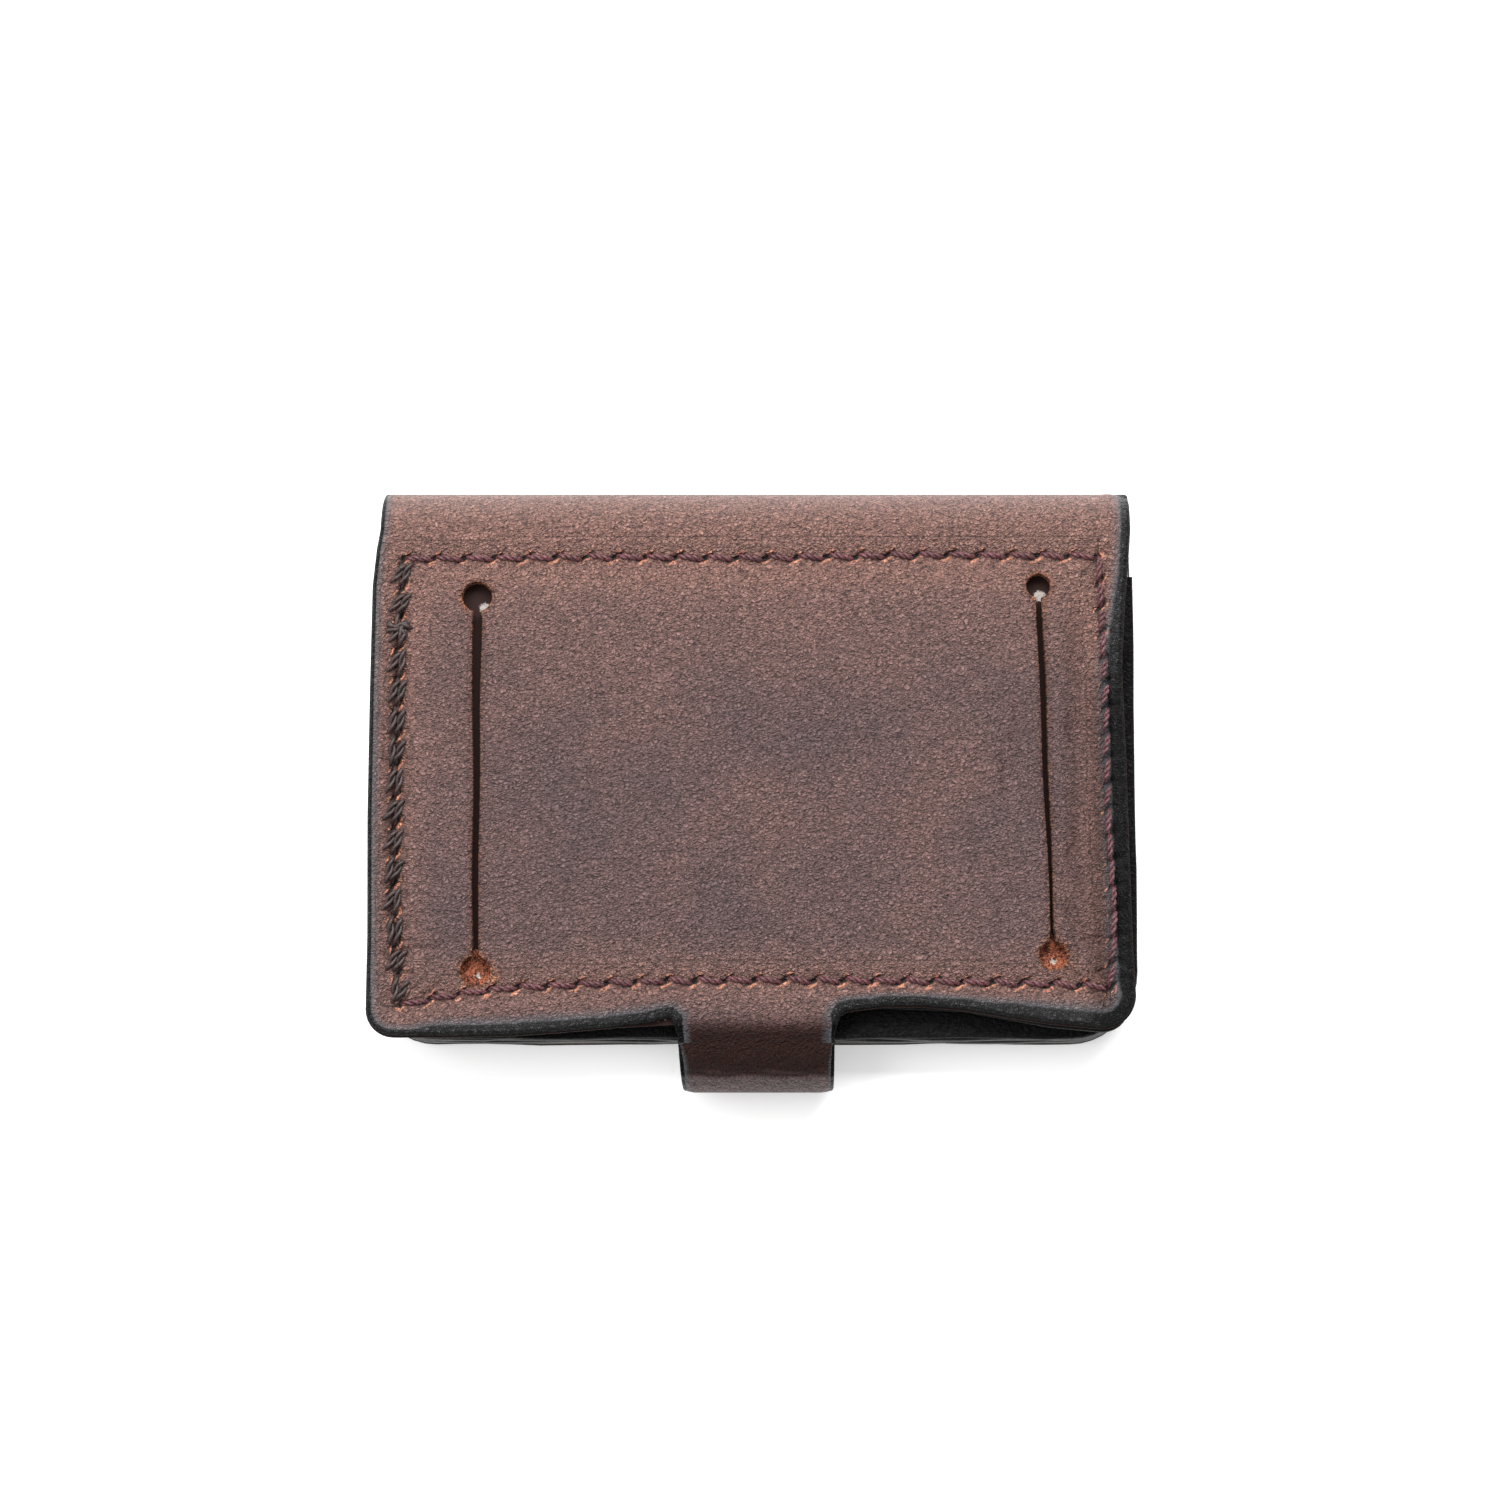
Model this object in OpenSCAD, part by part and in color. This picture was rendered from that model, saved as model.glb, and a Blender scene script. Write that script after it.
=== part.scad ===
/* [Case] */
// Width of the case over its edges
case_w = 110; // [104:1:118]
// Height of the closed case over both outer skins
case_t = 13; // [12.6:0.2:15]
// Distance from the mouth edge to the outermost line of the spine
case_l = 79.6; // [77:0.2:84]
// Thickness of the outer leather
skin_t = 1.85; // [1.6:0.05:2]
// Thickness of the lining
lining_t = 0.35; // [0.3:0.05:0.4]

/* [Lid] */
// Width of the lid
lid_w = 109; // [103:1:117]
// Radius of the lid's mouth corners
lid_corner_r = 4; // [2:0.5:6]
// Thickness of the panel that makes the lid's inner card slot
slot_panel_t = 0.95; // [0.9:0.05:1.1]
// Depth of the room for cards behind the slot panel
slot_room = 0.4; // [0.3:0.05:0.45]
// Width of the cut of each outer card slit
slit_w = 0.7; // [0.4:0.1:1]

/* [Card pocket] */
// Radius of the base's mouth corners
base_corner_r = 9.5; // [7:0.5:12]
// Width of the welt strips at the two sides
welt_w = 4.6; // [4:0.2:6]
// Width of the welt strips at the mouth
mouth_welt_w = 5.2; // [5:0.2:6]
// Height of the welt that holds the magnet
lower_welt_t = 2; // [1.9:0.1:2.2]
// Height of each of the other two welts
welt_t = 1.5; // [1.3:0.1:1.6]
// Thickness of the pocket's inner panel
pocket_t = 1.1; // [1:0.1:1.3]
// Radius of the thumb notch in the pocket's inner panel
thumb_r = 10; // [8:0.5:12]

/* [Tab] */
// Width of the closing tab
tab_w = 21.4; // [18:0.2:24]
// How far the tab's middle stands to the right of the case's middle
tab_x = 0.9; // [0:0.1:2]
// Thickness of the backing that covers the tab's magnet
backing_t = 1; // [0.9:0.1:1.2]
// Length of each rod magnet
magnet_l = 16; // [12:1:18]
// Radius of each rod magnet
magnet_r = 0.8; // [0.6:0.05:0.85]

/* [Seams] */
// Radius of the thread
thread_r = 0.42; // [0.3:0.02:0.45]
// Distance between stitches
stitch_pitch = 4.36; // [4:0.1:5]
// Length of the thread that shows in one stitch
stitch_l = 3.4; // [3:0.1:3.6]

/* [Hidden] */
$fn = 64;
EPS = 0.01;

// Colours of the finishes
BROWN = "#6b4a44";
DARK_BROWN = "#3a2724";
BLACK = "#1b1a1a";
GREY = "#b9b6b1";
PLUM = "#4a3036";
STEEL = "#c8c8cc";

// The case lies closed on its base: X runs along the spine, -Y is the mouth, Z is up.
spine_r = case_t / 2;
mouth_y = -39.2;
spine_y = mouth_y + case_l - spine_r;

// Levels of the base's layers, from the underside up
base_lining_z = skin_t;
welt_z = base_lining_z + lining_t;
middle_welt_z = welt_z + lower_welt_t;
upper_welt_z = middle_welt_z + welt_t;
pocket_z = upper_welt_z + welt_t;

// Levels of the lid's layers, from the outer skin down
lid_z = case_t - skin_t;
lid_lining_z = lid_z - lining_t;
slot_panel_z = lid_lining_z - slot_panel_t;

// Edges of the inner pieces towards the spine
lining_gap = 1.9;
lining_end_y = spine_y - lining_gap;
slot_end_y = 22;
pocket_end_y = 28;
slot_room_w = 94;
slot_room_in = 2;

// The leather bends at the spine on two lines, half way up each quarter of the fold
SPINE_CUT = 45;

// The tab leaves the lid flat, then turns down and back to the mouth
tab_lift = 0.3;
tab_r = (case_t - tab_lift) / 2;
tab_root_l = 1.2;
tab_y = mouth_y - tab_root_l;
tab_cz = tab_lift + tab_r;
TAB_CUT = 57;
tab_end_l = 0.6;
backing_from = 118;
magnet_at = 158;

// A round nick on each side of the tab's root keeps the leather from tearing
relief_r = 1.2;
relief_in = 0.6;

// The catch magnet lies in the lower welt, just behind the mouth edge
catch_in = 1.4;
catch_y = mouth_y + catch_in;
catch_z = welt_z + lower_welt_t / 2;
magnet_gap = 0.05;

// Seam lines, measured in from the edges
lid_seam_x = 50.6;
lid_seam_top_y = 29.6;
lid_seam_mouth_y = -33.4;
side_seam_in = 2.6;
mouth_seam_in = 3.7;
groove_w = 1.1;
groove_d = 0.5;
thread_proud = groove_d - EPS - thread_r;
seam_end_in = 1;
lower_seam_end_in = 2;

// A stitch thins over this length at each end, to this share of its radius
dive_l = 0.5;
pinch_share = 0.6;

// The right side was sewn with closer stitches, the left side twice with longer ones
close_pitch = 3.7;
close_l = 2.8;
double_pitch = 4.1;
double_l = 3.2;
double_shift = thread_r + 0.04;

// Outer card slits: middle of the round hole at each end, and the holes' radius
LEFT_SLIT = [[-39.6, 24.0], [-39.4, -30.1]];
RIGHT_SLIT = [[41.0, 25.6], [42.6, -27.9]];
LEFT_HOLE_R = 2.1;
RIGHT_HOLE_R = 1.75;

// ---- Shapes that repeat ----

// Draws a side view, given in Y and Z, across the width w about x
module across(w, x = 0) {
    translate([x, 0, 0]) rotate([90, 0, 90]) linear_extrude(w, center = true) children();
}

// Part of a ring, from angle a0 to a1, no more than 150 degrees of it
module ring_part(r, t, a0, a1) {
    far = 4 * r;
    mid = (a0 + a1) / 2;
    intersection() {
        difference() {
            circle(r);
            circle(r - t);
        }
        polygon([
            [0, 0],
            [far * cos(a0), far * sin(a0)],
            [far * cos(mid), far * sin(mid)],
            [far * cos(a1), far * sin(a1)]
        ]);
    }
}

// A flat outline from the mouth to end_y, with round corners at the mouth
module outline(w, end_y, r, inset = 0) {
    half = w / 2 - inset;
    low = mouth_y + inset;
    translate([-half, low + r]) square([2 * half, end_y - low - r]);
    translate([-half + r, low]) square([2 * (half - r), r + EPS]);
    for (side = [-1, 1]) translate([side * (half - r), low + r]) circle(r);
}

// A flat layer of that outline
module layer(w, end_y, r, z, t, inset = 0) {
    translate([0, 0, z]) linear_extrude(t) outline(w, end_y, r, inset);
}

// One visible stitch along +X, pinched at both ends where it dives into the leather
module stitch(r, l) {
    pinch = pinch_share * r;
    translate([-l / 2, 0, 0]) rotate([0, 90, 0]) rotate_extrude() polygon([
        [0, 0], [pinch, 0], [r, dive_l], [r, l - dive_l], [pinch, l], [0, l]
    ]);
}

// A straight run of stitches from p to q, which are points in X and Y, at height z
module stitches(p, q, z, pitch = stitch_pitch, r = thread_r, l = stitch_l) {
    run = norm(q - p);
    count = floor(run / pitch);
    turn = atan2(q[1] - p[1], q[0] - p[0]);
    for (i = [0 : count - 1])
        translate([each (p + (q - p) * (i + 0.5) / count), z]) rotate([0, 0, turn]) stitch(r, l);
}

// A straight groove from p to q, cut from height z up by d
module groove(p, q, z, d, w = groove_w) {
    run = norm(q - p);
    turn = atan2(q[1] - p[1], q[0] - p[0]);
    translate([p[0], p[1], z]) rotate([0, 0, turn]) translate([-w / 2, -w / 2, 0]) cube([run + w, w, d]);
}

// The four corners of the lid's seam, and the U of the base's seam
LID_SEAM = [
    [-lid_seam_x, lid_seam_mouth_y], [-lid_seam_x, lid_seam_top_y],
    [lid_seam_x, lid_seam_top_y], [lid_seam_x, lid_seam_mouth_y]
];
u_x = case_w / 2 - side_seam_in;
u_y = mouth_y + mouth_seam_in;
u_cut = base_corner_r - side_seam_in;
BASE_SEAM = [
    [-u_x, pocket_end_y - lower_seam_end_in], [-u_x, u_y + u_cut], [-u_x + u_cut, u_y],
    [u_x - u_cut, u_y], [u_x, u_y + u_cut], [u_x, pocket_end_y - lower_seam_end_in]
];

module along(points, closed = false) {
    last = len(points) - (closed ? 1 : 2);
    for (i = [0 : last]) {
        $p = points[i];
        $q = points[(i + 1) % len(points)];
        children();
    }
}

// ---- Base half ----

module base_leather() {
    color(BROWN) difference() {
        intersection() {
            across(case_w) {
                translate([mouth_y, 0]) square([spine_y - mouth_y + EPS, skin_t]);
                translate([spine_y, spine_r]) ring_part(spine_r, skin_t, -90, -SPINE_CUT);
            }
            layer(case_w, spine_y + spine_r, base_corner_r, -1, case_t);
        }
        along(BASE_SEAM) groove($p, $q, -EPS, 2 * thread_r + 2 * EPS);
    }
}

module base_lining() {
    color(GREY) layer(case_w, lining_end_y, base_corner_r, base_lining_z, lining_t);
}

// A U of leather that leaves the room for the cards
module welt(z, t) {
    inner_r = base_corner_r - welt_w;
    difference() {
        layer(case_w, pocket_end_y, base_corner_r, z, t);
        translate([0, 0, z - 1]) linear_extrude(t + 2) {
            half = case_w / 2 - welt_w;
            low = mouth_y + mouth_welt_w;
            translate([-half, low + inner_r]) square([2 * half, pocket_end_y - low]);
            translate([-half + inner_r, low]) square([2 * (half - inner_r), inner_r + EPS]);
            for (side = [-1, 1]) translate([side * (half - inner_r), low + inner_r]) circle(inner_r);
        }
    }
}

module rod(r, l, y, z) {
    translate([tab_x, y, z]) rotate([0, 90, 0]) cylinder(r = r, h = l, center = true);
}

module welt_lower() {
    color(BLACK) difference() {
        welt(welt_z, lower_welt_t);
        rod(magnet_r + magnet_gap, magnet_l + 2 * magnet_gap, catch_y, catch_z);
    }
}

module welt_middle() {
    color(BLACK) welt(middle_welt_z, welt_t);
}

module welt_upper() {
    color(BLACK) welt(upper_welt_z, welt_t);
}

module catch_magnet() {
    color(STEEL) rod(magnet_r, magnet_l, catch_y, catch_z);
}

module pocket_panel() {
    color(DARK_BROWN) difference() {
        layer(case_w, pocket_end_y, base_corner_r, pocket_z, pocket_t);
        translate([0, pocket_end_y, pocket_z - 1]) cylinder(r = thumb_r, h = pocket_t + 2);
        along(BASE_SEAM) groove($p, $q, pocket_z + pocket_t - groove_d, 1);
    }
}

module base_thread() {
    color(PLUM) along(BASE_SEAM) stitches($p, $q, thread_r + EPS);
}

module pocket_thread() {
    color(PLUM) along(BASE_SEAM) stitches($p, $q, pocket_z + pocket_t - thread_proud);
}

// ---- Spine ----

module spine_leather() {
    color(BROWN) across(case_w - 1) translate([spine_y, spine_r])
        ring_part(spine_r, skin_t, -SPINE_CUT, SPINE_CUT);
}

// ---- Lid half ----

// A card slit: a thin cut with a punched hole at each end
module slit(ends, hole_r) {
    run = norm(ends[1] - ends[0]);
    turn = atan2(ends[1][1] - ends[0][1], ends[1][0] - ends[0][0]);
    translate([each ends[0], lid_z - 1]) rotate([0, 0, turn]) translate([0, -slit_w / 2, 0])
        cube([run, slit_w, skin_t + 2]);
    for (end = ends) translate([each end, lid_z - 1]) cylinder(r = hole_r, h = skin_t + 2);
}

// The lid's skin runs from the fold of the spine to the first part of the tab's bend
module lid_leather() {
    color(BROWN) difference() {
        union() {
            intersection() {
                across(lid_w) {
                    translate([mouth_y, lid_z]) square([spine_y - mouth_y + EPS, skin_t]);
                    translate([spine_y, spine_r]) ring_part(spine_r, skin_t, SPINE_CUT, 90);
                }
                layer(lid_w, spine_y + spine_r, lid_corner_r, 0, case_t + 1);
            }
            across(tab_w, tab_x) {
                translate([tab_y - EPS, lid_z]) square([mouth_y - tab_y + 1, skin_t]);
                translate([tab_y, tab_cz]) ring_part(tab_r, skin_t, 90, 90 + TAB_CUT);
            }
        }
        for (side = [-1, 1])
            translate([tab_x + side * (tab_w / 2 + relief_r), mouth_y + relief_in, lid_z - 1])
                cylinder(r = relief_r, h = skin_t + 2);
        slit(LEFT_SLIT, LEFT_HOLE_R);
        slit(RIGHT_SLIT, RIGHT_HOLE_R);
        along(LID_SEAM, true) groove($p, $q, case_t - groove_d, 1);
        groove(LID_SEAM[0], LID_SEAM[1], case_t - groove_d, 1, 2 * groove_w);
    }
}

module lid_lining() {
    color(GREY) layer(lid_w, lining_end_y, lid_corner_r, lid_lining_z, lining_t);
}

// The panel is sewn at its two sides and at the mouth, and is open towards the spine
module lid_slot_panel() {
    room_z = slot_panel_z + slot_panel_t - slot_room;
    color(DARK_BROWN) difference() {
        layer(lid_w, slot_end_y, lid_corner_r, slot_panel_z, slot_panel_t);
        translate([-slot_room_w / 2, lid_seam_mouth_y + slot_room_in, room_z])
            cube([slot_room_w, slot_end_y - lid_seam_mouth_y, 1]);
        along(LID_SEAM, true) groove($p, $q, slot_panel_z - 1, 1 + groove_d - EPS);
    }
}

module lid_thread() {
    color(PLUM) {
        stitches(LID_SEAM[1], LID_SEAM[2], case_t - thread_proud);
        stitches(LID_SEAM[2], LID_SEAM[3], case_t - thread_proud, close_pitch, thread_r, close_l);
        stitches(LID_SEAM[3], LID_SEAM[0], case_t - thread_proud);
    }
}

// The left side is sewn twice, which leaves two strands side by side
module lid_thread_left() {
    color(BLACK) for (side = [-1, 1]) {
        shift = [side * double_shift, 0];
        stitches(LID_SEAM[0] + shift, LID_SEAM[1] + shift, case_t - thread_proud,
            double_pitch, thread_r, double_l);
    }
}

// Inside, the seam shows on the slot panel at the two sides and at the mouth
module lid_thread_inner() {
    z = slot_panel_z + thread_proud;
    left = LID_SEAM[0];
    right = LID_SEAM[3];
    color(PLUM) {
        stitches(left, [left[0], slot_end_y - seam_end_in], z);
        stitches(right, left, z);
        stitches([right[0], slot_end_y - seam_end_in], right, z);
    }
}

// The seam along the spine goes through the skin and the lining only
module lid_thread_lining() {
    color(PLUM) stitches(LID_SEAM[1], LID_SEAM[2], lid_lining_z - thread_r - EPS);
}

// ---- Tab ----

module tab_rod(r, l) {
    reach = tab_r - skin_t;
    rod(r, l, tab_y - reach * sin(magnet_at), tab_cz + reach * cos(magnet_at));
}

module tab_leather() {
    color(BROWN) difference() {
        across(tab_w, tab_x) {
            translate([tab_y, tab_cz]) ring_part(tab_r, skin_t, 90 + TAB_CUT, 270);
            translate([tab_y - EPS, tab_lift]) square([tab_end_l + EPS, skin_t]);
        }
        tab_rod(magnet_r + magnet_gap, magnet_l + 2 * magnet_gap);
    }
}

module tab_backing() {
    color(DARK_BROWN) difference() {
        across(tab_w, tab_x) {
            translate([tab_y, tab_cz]) ring_part(tab_r - skin_t, backing_t, 90 + backing_from, 270);
            translate([tab_y - EPS, tab_lift + skin_t]) square([tab_end_l + EPS, backing_t]);
        }
        tab_rod(magnet_r + magnet_gap, magnet_l + 2 * magnet_gap);
    }
}

module tab_magnet() {
    color(STEEL) tab_rod(magnet_r, magnet_l);
}

base_leather();
base_lining();
welt_lower();
welt_middle();
welt_upper();
pocket_panel();
catch_magnet();
base_thread();
pocket_thread();
spine_leather();
lid_leather();
lid_lining();
lid_slot_panel();
lid_thread();
lid_thread_left();
lid_thread_inner();
lid_thread_lining();
tab_leather();
tab_backing();
tab_magnet();
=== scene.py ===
import math
import random

import bpy
import numpy as np
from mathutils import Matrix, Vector
from mathutils.geometry import delaunay_2d_cdt


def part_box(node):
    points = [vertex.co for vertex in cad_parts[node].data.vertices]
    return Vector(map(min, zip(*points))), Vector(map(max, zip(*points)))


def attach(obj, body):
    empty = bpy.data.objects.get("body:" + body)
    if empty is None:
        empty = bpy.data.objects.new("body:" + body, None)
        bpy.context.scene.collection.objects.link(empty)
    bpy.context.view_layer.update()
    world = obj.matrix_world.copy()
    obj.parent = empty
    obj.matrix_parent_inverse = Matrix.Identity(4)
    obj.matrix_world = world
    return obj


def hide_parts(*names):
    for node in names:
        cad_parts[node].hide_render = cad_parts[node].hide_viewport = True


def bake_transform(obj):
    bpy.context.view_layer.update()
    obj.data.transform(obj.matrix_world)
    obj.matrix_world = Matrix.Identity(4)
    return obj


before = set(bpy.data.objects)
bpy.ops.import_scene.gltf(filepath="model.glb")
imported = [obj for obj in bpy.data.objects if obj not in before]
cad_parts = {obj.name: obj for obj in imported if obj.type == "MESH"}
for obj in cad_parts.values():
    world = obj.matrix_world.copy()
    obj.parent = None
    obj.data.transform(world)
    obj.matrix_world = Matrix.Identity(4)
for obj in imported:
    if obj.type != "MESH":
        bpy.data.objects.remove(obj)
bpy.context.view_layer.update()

MM = 0.001


# ---- Sizes of the case, in millimetres ----

CASE_T = 13.0            # closed case over both skins
SKIN_T = 1.85            # outer leather
SPINE_R = CASE_T / 2     # outside radius of the fold
SPINE_Y = 33.9           # middle of the fold
MOUTH_Y = -39.2
TAB_Y = -40.4            # where the tab starts to turn down
TAB_LIFT = 0.3
TAB_R = (CASE_T - TAB_LIFT) / 2
TAB_TURN = math.pi
BASE_HALF_W = 55.0
LINING_T = 0.35
TAB_X = 0.8              # middle of the tab's root
SPINE_V = SPINE_Y + SPINE_R * math.pi / 2       # middle of the fold, measured along the leather
OUTLINE_STEP = 0.55      # from one point of an outline to the next
FAR = 9.0                # far enough from an edge or a seam to show neither


# ---- Small helpers ----

def linear(hex_colour):
    """An sRGB hex colour as linear red, green, blue and alpha."""
    channels = [int(hex_colour[i:i + 2], 16) / 255 for i in (1, 3, 5)]
    return [c / 12.92 if c <= 0.04045 else ((c + 0.055) / 1.055) ** 2.4 for c in channels] + [1.0]


# Kinds of node that are used many times, and the settings of a mix of two colours
MATH = "ShaderNodeMath"
RANGE = "ShaderNodeMapRange"
NOISE = "ShaderNodeTexNoise"
MIX = "ShaderNodeMix"
ATTRIBUTE = "ShaderNodeAttribute"
VECTOR_MATH = "ShaderNodeVectorMath"
BUMP = "ShaderNodeBump"
COMBINE = "ShaderNodeCombineXYZ"
COLOUR = {"out": 2, "data_type": "RGBA"}
ADD_TO = {"operation": "MULTIPLY_ADD"}
TIMES = {"operation": "MULTIPLY"}


def plug(tree, sockets, values):
    """Sets each input to its value, or links it. A tuple of sockets goes into one input that takes many."""
    for key, value in values.items():
        parts = value if isinstance(value, tuple) else (value,)
        if isinstance(parts[0], bpy.types.NodeSocket):
            for part in parts:
                tree.links.new(part, sockets[key])
        else:
            sockets[key].default_value = value


def node(tree, kind, inputs=None, out=0, **settings):
    """Adds a node with its settings, values and links. Gives one of its outputs, or with None the node."""
    made = tree.nodes.new(kind)
    for key, value in settings.items():
        setattr(made, key, value)
    plug(tree, made.inputs, inputs or {})
    return made if out is None else made.outputs[out]


def in_scene(name, data):
    """An object for a mesh, light or camera, linked into the scene."""
    made = bpy.data.objects.new(name, data)
    bpy.context.scene.collection.objects.link(made)
    return made


def ease(t):
    """0 below 0 and 1 above 1, with a smooth rise between."""
    t = np.clip(t, 0, 1)
    return t * t * (3 - 2 * t)


def bump_at(distance, width):
    """A soft bump: 1 at no distance, and nearly gone at twice the width."""
    return np.exp(-(distance / width) ** 2)


def spot(points, x, y, width):
    return bump_at(np.hypot(points[:, 0] - x, points[:, 1] - y), width)


def path_distance(points, path, closed=False):
    """Distance from each point to a line of straight runs, and how far along it the nearest place is."""
    path = np.array(path, float)
    if closed:
        path = np.vstack([path, path[:1]])
    best = np.full(len(points), 1e9)
    along = np.zeros(len(points))
    start = 0.0
    for a, b in zip(path[:-1], path[1:]):
        run = b - a
        length = np.hypot(*run)
        t = np.clip(((points - a) @ run) / max(length ** 2, 1e-12), 0, 1)
        gap = np.hypot(*(points - a - t[:, None] * run).T)
        nearer = gap < best
        best[nearer] = gap[nearer]
        along[nearer] = start + t[nearer] * length
        start += length
    return best, along


def inside(points, loop):
    """Which points lie inside a closed outline."""
    x, y = points.T
    hit = np.zeros(len(points), bool)
    for (ax, ay), (bx, by) in zip(loop, np.roll(loop, -1, axis=0)):
        if ay == by:
            continue
        crossing = ((ay > y) != (by > y)) & (x < (bx - ax) * (y - ay) / (by - ay) + ax)
        hit ^= crossing
    return hit


def resampled(loop, step):
    """The same closed outline with a point about every step."""
    points = []
    loop = loop[np.hypot(*(np.roll(loop, -1, axis=0) - loop).T) > 0.02]
    for a, b in zip(loop, np.roll(loop, -1, axis=0)):
        count = max(1, int(round(np.hypot(*(b - a)) / step)))
        points += [a + (b - a) * i / count for i in range(count)]
    return np.array(points)


def arc(cx, cy, r, start, end, count=10):
    turns = np.radians(np.linspace(start, end, count))
    return [(cx + r * math.cos(t), cy + r * math.sin(t)) for t in turns]


def waviness(x, seed, size):
    """A slow wander, as from a hand-held knife."""
    r = random.Random(seed)
    total = 0
    for reach in (37.0, 17.0, 7.3):
        total = total + np.sin(np.asarray(x) * 2 * math.pi / reach + r.uniform(0, 6.28)) * reach / 37
    return size * total


# ---- How flat leather is bent into the case ----
# A place is (x, v, depth): v is the distance along the leather, equal to y where the leather is flat,
# and depth is how far below the outer skin it lies.

def bend_lid(x, v, depth):
    y = v.copy()
    z = CASE_T - depth
    fold = v > SPINE_Y
    turn = math.pi / 2 - (v[fold] - SPINE_Y) / SPINE_R
    y[fold] = SPINE_Y + (SPINE_R - depth[fold]) * np.cos(turn)
    z[fold] = SPINE_R + (SPINE_R - depth[fold]) * np.sin(turn)
    tab = v < TAB_Y
    turn = math.pi / 2 + (TAB_Y - v[tab]) / TAB_R
    y[tab] = TAB_Y + (TAB_R - depth[tab]) * np.cos(turn)
    z[tab] = TAB_LIFT + TAB_R + (TAB_R - depth[tab]) * np.sin(turn)
    return np.stack([x, y, z], 1)


def bend_base(x, v, depth):
    y = v.copy()
    z = depth.copy()
    fold = v > SPINE_Y
    turn = -math.pi / 2 + (v[fold] - SPINE_Y) / SPINE_R
    y[fold] = SPINE_Y + (SPINE_R - depth[fold]) * np.cos(turn)
    z[fold] = SPINE_R + (SPINE_R - depth[fold]) * np.sin(turn)
    return np.stack([x, y, z], 1)


def rows_of_points(low, high, step):
    rows = np.arange(low[1] + step / 2, high[1], step * 0.87)
    grid = []
    for i, y in enumerate(rows):
        xs = np.arange(low[0] + step * (0.5 if i % 2 else 1.0), high[0], step)
        grid.append(np.stack([xs, np.full(len(xs), y)], 1))
    return np.vstack(grid)


def triangles(loops, spacing, fine=None):
    """Covers the inside of an outline and its holes with triangles. The outline's points come first.
    fine is (spacing, test): closer points wherever the test holds."""
    step = spacing
    low, high = loops[0].min(0), loops[0].max(0)
    grid = rows_of_points(low, high, step)
    if fine:
        close = rows_of_points(low, high, fine[0])
        grid = np.vstack([grid[~fine[1](grid)], close[fine[1](close)]])
    keep = inside(grid, loops[0])
    for hole in loops[1:]:
        keep &= ~inside(grid, hole)
    grid = grid[keep]
    border = np.vstack(loops)
    # Points that crowd the outline are dropped, found by the square they fall in
    cell = step * 0.6
    crowded = set()
    for bx, by in np.floor(border / cell).astype(int):
        crowded.update((bx + i, by + j) for i in (-1, 0, 1) for j in (-1, 0, 1))
    squares = np.floor(grid / cell).astype(int)
    grid = grid[[tuple(s) not in crowded for s in squares]]
    edges = []
    start = 0
    for loop in loops:
        n = len(loop)
        edges += [(start + i, start + (i + 1) % n) for i in range(n)]
        start += n
    points = np.vstack([border, grid])
    made = delaunay_2d_cdt([Vector(p) for p in points], edges, [], 1, 1e-7)
    if len(made[0]) != len(points):
        raise RuntimeError("the outline crosses itself")
    order = np.array([source[0] for source in made[3]])
    tris = order[np.array(made[2])]
    middles = points[tris].mean(1)
    keep = inside(middles, loops[0])
    for hole in loops[1:]:
        keep &= ~inside(middles, hole)
    return points, tris[keep]


def note_on(mesh, key, values):
    """Keeps a value or a place for each point of a mesh, for its finish or its stitches to read."""
    values = np.asarray(values, np.float32)
    kind, field = ("FLOAT", "value") if values.ndim == 1 else ("FLOAT_VECTOR", "vector")
    mesh.attributes.new(key, kind, "POINT").data.foreach_set(field, values.ravel())


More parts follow.
